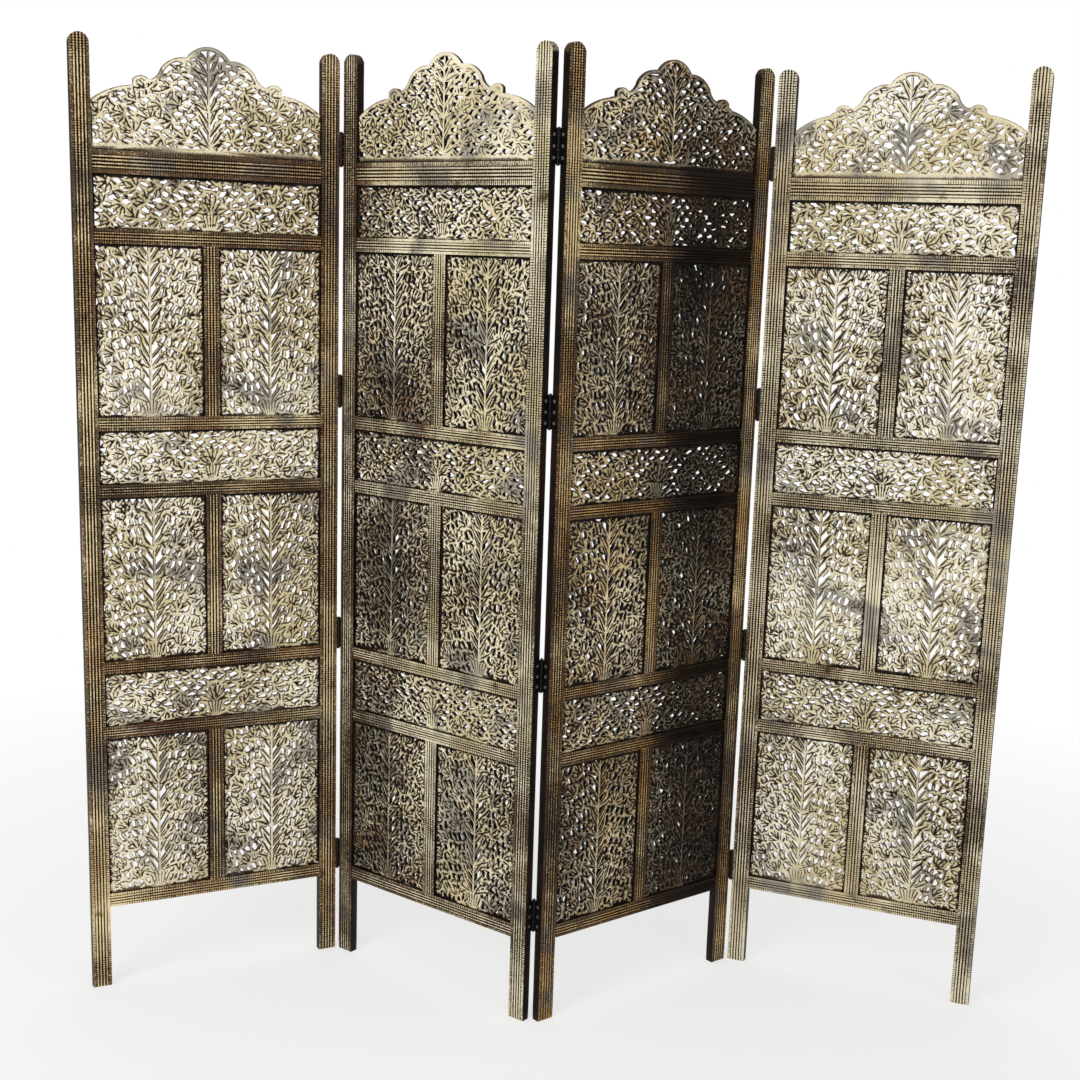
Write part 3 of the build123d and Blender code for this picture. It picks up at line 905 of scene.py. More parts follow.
    def triangles(self, points: Array, links: Array, merge: float) -> tuple[Array, Array, Array]:
        """Triangles of the points that lie on a form.

        Args:
            points: points of the pattern.
            links: pairs of points that an edge joins.
            merge: points closer than this become one.

        Returns:
            Points, triangles counter-clockwise, and the number that each point handed in has among them.
        """
        vectors = [Vector(point) for point in points.tolist()]
        pairs = [tuple(pair) for pair in links.tolist()]
        made = delaunay_2d_cdt(vectors, pairs, [], 0, merge, True)
        where, faces, sources = np.array([tuple(point) for point in made[0]]), np.array(made[2]), made[3]
        renamed = np.zeros(len(points), int)
        old = np.concatenate([np.array(numbers, int) for numbers in sources])
        renamed[old] = np.repeat(np.arange(len(where)), [len(numbers) for numbers in sources])
        sides = where[np.roll(faces, -1, axis=1)] - where[faces]
        area = sides[:, 0, 0] * sides[:, 1, 1] - sides[:, 0, 1] * sides[:, 1, 0]
        faces = np.where(area[:, None] < 0, faces[:, ::-1], faces)[np.abs(area) > 1e-5]
        return where, faces[np.isfinite(self.levels(where[faces].mean(axis=1), 0.0))], renamed

    @staticmethod
    def rims(faces: Array, count: int) -> Array:
        """Edges that only one triangle has, in its direction, among triangles of so many points."""
        edge = np.stack([faces, np.roll(faces, -1, axis=1)], axis=-1).reshape(-1, 2)
        return edge[~np.isin(edge[:, 0] * count + edge[:, 1], edge[:, 1] * count + edge[:, 0])]

    def soften(self, where: Array, rim: Array, share: float) -> Array:
        """Rounds the outline between blades: each of its points moves towards the middle of its neighbours.

        Args:
            where: points of the pattern.
            rim: edges of the outline.
            share: how far towards that middle.

        Returns:
            The moved points.
        """
        total, tally = np.zeros_like(where), np.zeros((len(where), 1))
        for first, second in (rim.T, rim.T[::-1]):
            np.add.at(total, first, where[second])
            np.add.at(tally, first, 1.0)
        plates, strips = np.vstack(self.plates), np.vstack(self.strips) if self.strips else np.zeros((0, 6))
        free = (tally[:, 0] == 2) & ~np.isfinite(self.plate_levels(where, plates, 1.0))
        free &= ~np.isfinite(self.strip_levels(where, strips, 0.5))
        move = share * (total / np.maximum(tally, 1) - where)
        move *= np.minimum(1.0, 0.8 / np.maximum(np.hypot(*move.T), 1e-6))[:, None]
        return where + move * free[:, None]

    @staticmethod
    def connected(faces: Array, count: int) -> Array:
        """Labels points so that all that triangles join have one label.

        Each point takes the least label of its triangles, and then the label of the point so named, until
        nothing changes.

        Args:
            faces: triangles.
            count: number of points.

        Returns:
            Label of each point.
        """
        label = np.arange(count)
        for _ in range(FLOOD_ROUNDS):
            least = label[faces].min(axis=1)
            fresh = label.copy()
            np.minimum.at(fresh, faces.ravel(), np.repeat(least, 3))
            fresh = fresh[fresh]
            if np.array_equal(fresh, label):
                break
            label = fresh
        return label

    def cut(self) -> tuple[Array, Array, Array]:
        """Triangles of the pattern's union, without the bits that hang on nothing.

        A first pass finds the union. A second keeps of its points only those on the outline, on plates and on
        the crests and midribs of the forms.

        Returns:
            Points, triangles counter-clockwise, and the level of each point.
        """
        where, faces, renamed = self.triangles(np.vstack(self.points), np.vstack(self.links), DRAWN_MERGE)
        label = self.connected(faces, len(where))
        names, tally = np.unique(label[faces[:, 0]], return_counts=True)
        whole = label == names[tally.argmax()]
        faces = faces[whole[faces[:, 0]]]
        self.blades = [np.vstack(self.blades)[whole[renamed[np.concatenate(self.hearts)]]]]
        rim = self.rims(faces, len(where))
        keep = np.zeros(len(where), bool)
        keep[renamed[np.concatenate(self.crests)]] = True
        keep |= np.isfinite(self.plate_levels(where, np.vstack(self.plates), 0.3))
        keep &= whole
        keep[rim] = True
        ribs = renamed[np.vstack(self.ribs)]
        links = np.vstack([rim, ribs[keep[ribs].all(axis=1) & (ribs[:, 0] != ribs[:, 1])]])
        number = np.cumsum(keep) - 1
        level = self.levels(where[keep], 0.12)
        where = self.soften(where, rim, OUTLINE_SOFTENING)[keep]
        flat, faces, renamed = self.triangles(where, number[links], CUT_MERGE)
        levels = self.levels(flat, 0.2)
        levels[renamed] = level
        levels = np.clip(np.where(np.isfinite(levels), levels, -0.5), -self.groove, 0.0)
        used, faces = np.unique(faces, return_inverse=True)
        return flat[used], faces.reshape(-1, 3), levels[used]


@dataclass
class Board(ABC):
    """Pierced board: width and height of its opening, and the seed of its hand.

    Its plain border is as broad as the margin at its sides and as the ledge above and below.
    """

    width: float
    height: float
    seed: int
    margin: float = 3.4
    ledge: float = 4.5
    thickness: float = 10.0

    def __post_init__(self) -> None:
        """Starts the pattern and the chance that varies it."""
        self.carving = Carving()
        self.chance = np.random.default_rng(self.seed)

    def stray(self, most: float, count: int | None = None) -> Array | float:
        """How far the carver's hand strays either way: one draw, or as many as asked for."""
        return self.chance.uniform(-most, most, count)

    def keep(self, points: Array) -> Array:
        """Ends of blades held within the border."""
        half = self.width / 2 - self.margin + 2.0
        return np.column_stack([np.clip(points[:, 0], -half, half), self.keep_low(points)])

    def keep_low(self, points: Array) -> Array:
        """Heights of the ends of blades held within the border."""
        return np.clip(points[:, 1], self.ledge - 2.0, self.height - self.ledge + 2.0)

    def sway(self, points: Array) -> Array:
        """Points moved by the carver's hand, all that meet at a point alike.

        Both ways they move by a slow and a quicker sine, and across by less near the middle, after a
        hyperbolic tangent.

        Args:
            points: points of the pattern.

        Returns:
            The moved points.
        """
        x, z = points[:, 0], points[:, 1]
        phase = self.seed * 0.9
        aside = 2.0 * np.sin(z / 8.3 + 1.4 * np.sin(x / 15.0) + phase)
        aside = aside + 1.5 * np.sin(z / 4.7 + x / 6.1 + 2.3 * phase)
        return points + np.column_stack([
            aside * np.tanh(np.abs(x) / 9.0),
            2.2 * np.sin(x / 9.0 + phase * 1.3) + 1.8 * np.sin(x / 4.3 + z / 12.0 + phase),
        ])

    def leaves(self, base: Array, tip: Array, half: float, bow: float, lift: float, cut: float) -> None:
        """Adds blades that a hand has varied, but none that the border would turn aside.

        Args:
            base, tip: ends of the blades.
            half: half of their breadth.
            bow: how far they may bow either way.
            lift: how far they may lie below the face.
            cut: as Carving.add_blades takes it.
        """
        chance, count = self.chance, len(base)
        halves, bows = half * chance.uniform(0.85, 1.18, count), self.stray(bow, count)
        lifts = -chance.uniform(0, lift, count)
        first, last = self.keep(base), self.keep(tip)
        run, left = tip - base, last - first
        cosine = (run * left).sum(axis=1) / np.maximum(np.hypot(*run.T) * np.hypot(*left.T), 1e-6)
        fits = (cosine > STRAIGHT_ENOUGH) & (self.fits(base) | self.fits(tip))
        self.carving.add_blades(first[fits], last[fits], halves[fits], bows[fits], lifts[fits], cut)

    def thicket(
        self, rows: Array, columns: tuple[tuple, tuple], leans: tuple, fan: float, length: float, half: float,
    ) -> None:
        """Adds sprays of five blades on staggered rows, alike on both sides of the middle but for the hand.

        Rows take the two sets of columns by turns, and neighbours take the two leans by turns.

        Args:
            rows: heights of the rows.
            columns: distances from the middle in even and in odd rows.
            leans: angles of the sprays outward from straight up, in degrees.
            fan: angle between the blades of a spray, in degrees.
            length: length of a spray's middle blade.
            half: half of a blade's breadth.
        """
        for row, level in enumerate(rows):
            for column, aside in enumerate(columns[row % 2]):
                place = np.array([aside, level]) + self.stray(6, 2)
                lean = leans[(row + column) % 2] + self.stray(16)
                turns = lean + fan * np.arange(-2, 3) + self.stray(6, 5)
                reach = length * (np.array(SPRAY_LENGTHS) + self.stray(0.08, 5))
                for side in (1, -1):
                    hub = place * [side, 1] + self.stray(2.5, 2)
                    if self.fits(hub[None])[0]:
                        self.spray(tuple(hub), side * turns + self.stray(5), reach, half)

    def spray(self, hub: tuple[float, float], turns: Array, length: Array, half: float) -> None:
        """Adds blades that radiate from a hub.

        Args:
            hub: where they meet.
            turns: angle of each from straight up, in degrees, positive to the right.
            length: length of each.
            half: half of their breadth.
        """
        angle = np.radians(turns)
        way = np.column_stack([np.sin(angle), np.cos(angle)])
        base = np.array(hub) - 1.5 * way
        tip = base + way * np.broadcast_to(length, len(angle))[:, None]
        self.leaves(base, tip, half, 1.2, 0.0, self.carving.groove)

    def trellis(
        self, pitch: tuple[float, float], drift: float, sideways: bool, half: float, clear: float,
    ) -> None:
        """Adds the web of blades between the piercings.

        Piercings stand in staggered columns. Each side of one is a blade that leans from a joint to the next
        one half a piercing higher, and a short blade bridges the columns over each piercing. Rows climb away
        from the middle by the drift. Sideways, the columns lie along the board and grow outward.

        Args:
            pitch: from column to column, and from piercing to piercing in a column.
            drift: climb of the rows for each mm from the middle.
            sideways: whether the piercings lie along the board.
            half: half of a blade's breadth.
            clear: how far it stays from the board's middle.
        """
        p, q = pitch
        a = 0.3 * p
        reach_k = (self.height if sideways else self.width / 2) / p + 2
        reach_j = (self.width / 2 if sideways else self.height) / q + 2
        low_j = -1 if sideways else -int(drift * self.width / 2 / q) - 2
        low_k = -int(drift * self.width / 2 / p) - 2 if sideways else 0
        k, j = np.meshgrid(np.arange(low_k, int(reach_k)), np.arange(low_j, int(reach_j)), indexing="ij")
        k, j = k.ravel(), j.ravel()
        centre = np.column_stack([k * p, (j + 0.5 * (k % 2)) * q])
        right, left = centre + [p - a, 0], centre - [p - a, 0]
        top_right, top_left = centre + [a, q / 2], centre + [-a, q / 2]
        bridge = self.chance.random(len(k)) < 0.5
        base = np.vstack([right, left, np.where(bridge[:, None], top_left, top_right)])
        tip = np.vstack([top_right, top_left, np.where(bridge[:, None], top_right, top_left)])
        if sideways:
            base, tip = base[:, ::-1], tip[:, ::-1]
            shift = self.stray(0.5)
            base, tip = base + [0, shift * p], tip + [0, shift * p]
        keep = (base[:, 0] > -0.6 * q) & (tip[:, 0] > -0.6 * q)
        base, tip = base[keep], tip[keep]
        base = base + np.column_stack([np.zeros(len(base)), drift * np.abs(base[:, 0])])
        tip = tip + np.column_stack([np.zeros(len(tip)), drift * np.abs(tip[:, 0])])
        for side in (1, -1):
            flip = np.array([side, 1.0])
            start, end = self.sway(base * flip), self.sway(tip * flip)
            way = (end - start) / np.hypot(*(end - start).T)[:, None]
            over = self.chance.uniform(2.0, 7.5, (2, len(way), 1))
            start, end = start - way * np.minimum(over[0], 3.6), end + way * over[1]
            thorn = np.abs(start[:, 0] + end[:, 0]) > 2 * clear
            thorn &= self.chance.random(len(way)) > 0.1
            self.leaves(start[thorn], end[thorn], half, 1.5, 0.4, THORN_FALL)
            leaf = ~thorn & (np.abs(start[:, 0] + end[:, 0]) > 2 * clear)
            self.leaves(start[leaf], end[leaf], 1.3 * half, 1.0, 0.2, self.carving.groove)

    def fits(self, points: Array) -> Array:
        """Which points are inside the board's border."""
        inside = np.abs(points[:, 0]) < self.width / 2 - self.margin
        return inside & (points[:, 1] > self.ledge) & (points[:, 1] < self.height - self.ledge)

    def shaded_edge(self, points: Array) -> Array:
        """Which points are on the plain border at the sides and top: unbrushed by the pale coat, and painted
        dark as the shade that the stiles and rails cast there.
        """
        side = np.abs(points[:, 0]) > self.width / 2 - self.margin - 0.1
        return side | (points[:, 1] > self.height - self.ledge - 0.1)

    def border(self) -> None:
        """Adds the plain strips along the opening's edges, with their tongues."""
        half, top, m, t, k = self.width / 2, self.height, self.margin, TONGUE, self.ledge
        corners = [
            [(-half - t, -t), (half + t, -t), (half + t, k), (-half - t, k)],
            [(-half - t, top - k), (half + t, top - k), (half + t, top + t), (-half - t, top + t)],
            [(-half - t, -t), (-half + m, -t), (-half + m, top + t), (-half - t, top + t)],
            [(half - m, -t), (half + t, -t), (half + t, top + t), (half - m, top + t)],
        ]
        self.carving.add_plates(np.array(corners, float), BORDER_LEVEL)

    def trunk(self, foot: float, top: float, step: float, half: float) -> None:
        """Adds the tree's trunk with pairs of long blades up both sides, and a spread pair at every third.

        Args:
            foot, top: ends of the trunk.
            step: from pair to pair.
            half: half of a blade's breadth.
        """
        line = np.column_stack([np.zeros(12), np.linspace(foot, top, 12)])
        self.carving.add_stem(line, 2.0, 0.0)
        for row, level in enumerate(np.arange(foot, top - 10, step)):
            spread = np.array(DOUBLE_PAIR if row % 3 == 0 else SINGLE_PAIR)
            for side in (-1, 1):
                height = level + self.stray(4)
                turns = side * spread + self.stray(7, len(spread))
                reach = 2.2 * step * (1.12 - spread / 280) * self.chance.uniform(0.9, 1.1, len(spread))
                room = (top - height + 2) / np.cos(np.radians(turns))
                self.spray((0, height), turns, np.minimum(reach, np.maximum(room, 8.0)), half)

    def fluted_pot(self, breadth: float, height: float, flutes: int) -> None:
        """Adds a pot that flares from its foot, fluted like a fan.

        Args:
            breadth: breadth of its mouth.
            height: height of its mouth.
            flutes: number of flutes.
        """
        half = breadth / 2
        self.carving.add_plates(np.array([
            [(-0.42 * half, 2), (0.42 * half, 2), (half, height), (-half, height)],
            [(-0.7 * half, -1), (0.7 * half, -1), (0.7 * half, 6), (-0.7 * half, 6)],
        ], float), PLATE_LEVEL)
        foot = np.linspace(-0.36, 0.36, flutes) * half
        mouth = np.linspace(-0.88, 0.88, flutes) * half
        base = np.column_stack([foot, np.full(flutes, 3.0)])
        tip = np.column_stack([mouth, height + 5 - 4 * (mouth / half) ** 2])
        none = np.zeros(flutes)
        self.carving.add_blades(base, tip, none + 0.55 * breadth / flutes, none, none, self.carving.groove)

    @abstractmethod
    def draw(self) -> None:
        """Draws the board's pattern."""

    def carve(self, draft: MeshDraft, middle: float, floor: float) -> None:
        """Cuts the board and adds it to a mesh.

        The front face lies the pattern's level below the board's front, the back face mirrors it, and a wall
        joins them round each piercing.

        Args:
            draft: the mesh that takes the board.
            middle: the board's middle across the leaf.
            floor: foot of the opening.
        """
        self.draw()
        flat, faces, level = self.carving.cut()
        shaded_edge = self.shaded_edge(flat)
        near = (STILE_THICKNESS - self.thickness) / 2
        far = near + self.thickness
        front = np.column_stack([middle + flat[:, 0], near - level, floor + flat[:, 1]])
        back = np.column_stack([middle + flat[:, 0], far + level, floor + flat[:, 1]])
        count = len(flat)
        lone = self.carving.rims(faces, count)
        wall = np.stack([lone[:, 1], lone[:, 0], lone[:, 0] + count, lone[:, 1] + count], axis=-1)
        chart = np.vstack([flat, flat + [0.0, self.height * 1.2]]) / 1000.0
        # The plain border at the sides and top takes a dark paint: painted shade that the stiles and rails
        # cast there, on a border the pale coat didn't reach.
        high = np.tile(np.where(shaded_edge, EDGE_SHADE_PAINT, 1 + level / self.carving.groove), 2)
        parts = [(f, chart[f], high[f]) for f in (faces, faces[:, ::-1] + count)]
        parts.append((wall, chart[wall], np.full(wall.shape, WALL_PAINT)))
        draft.add(np.vstack([front, back]), parts)


@dataclass
class TallBoard(Board):
    """Upright board: a tree that grows from a fluted pot, sprays, and a web that climbs away from it."""

    def draw(self) -> None:
        """Draws border, web, tree, sprays and pot."""
        self.border()
        self.trellis(pitch=(12.4, 21.6), drift=0.62, sideways=False, half=3.7, clear=16.0)
        self.trunk(foot=28, top=self.height - 2, step=21.0, half=3.9)
        self.thicket(
            rows=np.arange(20, self.height, 34.0), columns=((44, 80), (62, 92)), leans=(38, 66),
            fan=24.0, length=31.0, half=3.8,
        )
        self.fluted_pot(breadth=46, height=29, flutes=6)


@dataclass
class BandBoard(Board):
    """Low wide board: a fan in a vase at its middle, and sprays to both sides."""

    def draw(self) -> None:
        """Draws border, web, sprays and vase."""
        self.border()
        self.trellis(pitch=(11.7, 24.0), drift=0.12, sideways=True, half=3.8, clear=3.0)
        self.thicket(
            rows=self.height / 3 * np.array([0.55, 1.5, 2.45]),
            columns=((52, 96, 140, 184), (74, 118, 162, 203)), leans=(52, 128),
            fan=32.0, length=29.0, half=4.0,
        )
        fan = np.linspace(-78, 78, 9)
        self.spray(hub=(0, 30), turns=fan, length=46 - 14 * np.abs(fan) / 78, half=3.8)
        self.fluted_pot(breadth=34, height=32, flutes=5)


@dataclass
class CrestBoard(Board):
    """Crest board: a palm trunk and sprays under a scalloped edge with a plain rim."""

    rim: float = 7.0
    rim_level: float = -0.3
    foot_strip: float = 11.0
    foot_level: float = -0.8
    side_height: float = 86.0
    arcs: tuple = (
        ((216.5, 86.0), (184.0, 106.0), (139.0, 117.0)),
        ((139.0, 128.0), (124.5, 135.0), (110.0, 128.0)),
        ((110.0, 128.0), (97.0, 135.0), (88.0, 150.0)),
        ((88.0, 150.0), (66.0, 168.0), (40.0, 172.0)),
        ((40.0, 172.0), (0.0, 194.0), (-40.0, 172.0)),
    )

    def arc(self, start: tuple, crown: tuple, end: tuple, steps: int) -> Array:
        """Points of the circle through three points.

        Args:
            start, crown, end: the three points.
            steps: number of points.

        Returns:
            The points, from start to end.
        """
        rows = np.array([start, crown, end])
        lhs = 2 * (rows[1:] - rows[0])
        rhs = (rows[1:] ** 2 - rows[0] ** 2).sum(axis=1)
        centre = np.linalg.solve(lhs, rhs)
        angle = np.unwrap(np.arctan2(*(rows - centre).T[::-1]))
        radius = np.hypot(*(rows[0] - centre))
        turn = np.linspace(angle[0], angle[2], steps)
        return centre + radius * np.column_stack([np.cos(turn), np.sin(turn)])

    def edge(self) -> Array:
        """Line of the scalloped edge.

        Returns:
            Its points, from the right side to the left side.
        """
        half = [self.arc(*arc, steps) for arc, steps in zip(self.arcs[:4], (13, 7, 6, 10))]
        right = np.vstack([[(self.arcs[0][0][0] + TONGUE, self.side_height)], *half])
        top = self.arc(*self.arcs[4], 17)[1:-1]
        line = np.vstack([right, top, right[::-1] * [-1, 1]])
        return line[np.concatenate([[True], np.hypot(*np.diff(line, axis=0).T) > 0.01])]

    def keep_low(self, points: Array) -> Array:
        """Heights of the ends of blades held under the scalloped edge.

        Args:
            points: the ends.

        Returns:
            Height of each.
        """
        line = self.edge()[::-1]
        top = np.interp(points[:, 0], line[:, 0], line[:, 1])
        near = np.minimum(np.interp(points[:, 0] - 3, line[:, 0], line[:, 1]), top)
        near = np.minimum(np.interp(points[:, 0] + 3, line[:, 0], line[:, 1]), near)
        return np.clip(points[:, 1], self.foot_strip - 2.0, near - self.rim + 2.5)

    def fits(self, points: Array) -> Array:
        """Which points are under the scalloped edge.

        Args:
            points: points of the pattern.

        Returns:
            True for each that is.
        """
        line = self.edge()[::-1]
        top = np.interp(points[:, 0], line[:, 0], line[:, 1])
        inside = np.abs(points[:, 0]) < self.width / 2 - self.margin
        return inside & (points[:, 1] > self.foot_strip) & (points[:, 1] < top - self.rim)

    def shaded_edge(self, points: Array) -> Array:
        """Which points are on the side strips or in the foot's groove: unbrushed by the coat, and painted
        dark as the shade that the stiles cast there.
        """
        side = np.abs(points[:, 0]) > self.width / 2 - 0.5 * self.margin
        return (side & (points[:, 1] < self.side_height)) | (points[:, 1] < 0)

    def border(self) -> None:
        """Adds the rim along the scalloped edge, the foot strip and the side strips, with their tongues."""
        half, m, t, foot, side = self.width / 2, self.margin, TONGUE, self.foot_strip, self.side_height
        corners = [
            [(-half - t, -t), (half + t, -t), (half + t, foot), (-half - t, foot)],
            [(-half - t, -t), (-half + m, -t), (-half + m, side - 1), (-half - t, side)],
            [(half - m, -t), (half + t, -t), (half + t, side), (half - m, side - 1)],
        ]
        self.carving.add_plates(np.array(corners, float), self.foot_level)
        line = self.edge()
        self.carving.add_strip(line, line + self.rim * left_of(line), self.rim_level)

    def draw(self) -> None:
        """Draws border, web, palm and sprays."""
        self.border()
        self.trellis(pitch=(11.6, 23.0), drift=0.16, sideways=True, half=3.5, clear=12.0)
        lobe = np.array([(136, 119), (118, 115), (112, 126), (124, 132)], float)
        self.carving.add_plates(np.array([(lobe * [side, 1])[::-side] for side in (1, -1)]), PLATE_LEVEL)
        self.trunk(foot=14, top=184, step=21.0, half=3.7)
        self.thicket(
            rows=np.array([30.0, 60.0, 90.0, 120.0]), columns=((46, 90, 134, 178), (68, 112, 156, 198)),
            leans=(46, 118), fan=32.0, length=30.0, half=4.0,
        )


# ---------------------------------------------------------------- leaves
@dataclass(frozen=True)
class LeafFinishes:
    """Finishes of one leaf: its members' coat and its boards' coat."""

    reeded: bpy.types.Material
    carved: bpy.types.Material


@dataclass
class Leaf:
    """One leaf's woodwork."""

    place: LeafPlace
    finishes: LeafFinishes

    def dress(self, draft: MeshDraft, part: str, slot: Slot, crease: float = 38.0) -> None:
        """Makes one piece, gives it its finish, and puts it in its CAD node's place.

        Args:
            draft: the piece's mesh.
            part: name of the CAD node after its leaf.
            slot: material slot of the record.
            crease: edges bent by more than this many degrees stay sharp.
        """
        node = f"{self.place.body}_{part}"
        piece = draft.make(node + "_carved", self.place, crease)
        carved = slot in (Slot.CREST, Slot.BAND, Slot.PANEL)
        piece.data.materials.append(self.finishes.carved if carved else self.finishes.reeded)
        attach(piece, self.place.body)
        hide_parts(node)
        log.info("%s: %d faces", piece.name, len(piece.data.polygons))

    def stiles(self) -> None:
        """Makes the two uprights."""
        section = ReededSection(STILE_WIDTH, STILE_THICKNESS, reeds=4, edge_flat=6.0)
        for part, left in (("left_stile", 0.0), ("right_stile", LEAF_WIDTH - STILE_WIDTH)):
            seed = self.place.number * 10 + (1 if left else 0)
            member = Member(section, 0.0, LEAF_HEIGHT, seed, rows=76, round_top=True)
            points, parts = member.shell()
            draft = MeshDraft()
            draft.add(points + [left, 0.0, 0.0], parts)
            self.dress(draft, part, Slot.STILE)

    def rail(self, draft: MeshDraft, low: float, high: float, reeds: int) -> None:
        """Adds one cross rail to a mesh, with a plain strip of a fifth of its height along both edges.

        Args:
            draft: the mesh.
            low, high: the rail's lower and upper edge above the floor.
            reeds: number of reeds on each face.
        """
        section = ReededSection(high - low, RAIL_THICKNESS, reeds, edge_flat=(high - low) / 5)
        seed = self.place.number * 100 + int(low) % 97
        start, end = STILE_WIDTH - RAIL_OVERLAP, LEAF_WIDTH - STILE_WIDTH + RAIL_OVERLAP
        points, parts = Member(section, start, end, seed, rows=26).shell()
        draft.add(np.column_stack([points[:, 2], RAIL_SETBACK + points[:, 1], low + points[:, 0]]), parts)

    def rails(self) -> None:
        """Makes the cross rails and the crest rail."""
        draft = MeshDraft()
        levels = list(Level)
        lows = [BOTTOM_RAIL_FOOT] + [level.value[1] for level in levels[:-1]]
        for low, level in zip(lows, levels):
            self.rail(draft, low, level.value[0], 3)
        self.dress(draft, "cross_rails", Slot.RAIL)
        draft = MeshDraft()
        self.rail(draft, Level.UPPER_BAND.value[1], CREST_FLOOR, 4)
        self.dress(draft, "crest_rail", Slot.RAIL)

    def mullions(self) -> None:
        """Makes the short uprights between the tall boards."""
        section = ReededSection(MULLION_WIDTH, RAIL_THICKNESS, reeds=3, edge_flat=5.5)
        draft = MeshDraft()
        for level in (Level.LOWER_PANELS, Level.MIDDLE_PANELS, Level.UPPER_PANELS):
            low, high = level.value
            seed = self.place.number * 7 + int(low) % 13
            start, end = low - MULLION_OVERLAP, high + MULLION_OVERLAP
            points, parts = Member(section, start, end, seed, rows=20).shell()
            draft.add(points + [STILE_WIDTH + TALL_OPENING, RAIL_SETBACK, 0.0], parts)
        self.dress(draft, "mullions", Slot.MULLION)

    def boards(self) -> None:
        """Makes the crest board, the bands and the tall boards."""
        number = self.place.number
        draft = MeshDraft()
        CrestBoard(OPENING, CREST_PEAK, 900 + number).carve(draft, LEAF_WIDTH / 2, CREST_FLOOR)
        self.dress(draft, "crest_panel", Slot.CREST)
        for row, level in enumerate(Level):
            low, high = level.value
            draft = MeshDraft()
            if level.name.endswith("BAND"):
                band = BandBoard(OPENING, high - low, 100 * number + row)
                band.carve(draft, LEAF_WIDTH / 2, low)
                self.dress(draft, level.node, Slot.BAND)
                continue
            for side in (-1, 1):
                middle = LEAF_WIDTH / 2 + side * (MULLION_WIDTH + TALL_OPENING) / 2
                tall = TallBoard(TALL_OPENING, high - low, 100 * number + 10 * row + side)
                tall.carve(draft, middle, low)
            self.dress(draft, level.node, Slot.PANEL)

    def build(self) -> None:
        """Makes all of the leaf's woodwork."""
        self.stiles()
        self.rails()
        self.mullions()
        self.boards()


@dataclass
class Hardware:
    """Hinge plates, pins and screws, which keep their CAD shapes."""

    finishes: dict[str, Iron]

    def dress(self) -> None:
        """Gives every plate, pin and screw its metal."""
        for word, finish in self.finishes.items():
            material = finish.build()
            for name, piece in frame["nodes"].items():
                if word in name:
                    piece.data.materials.clear()
                    piece.data.materials.append(material)
                    log.info("%s: %s", name, finish.name)


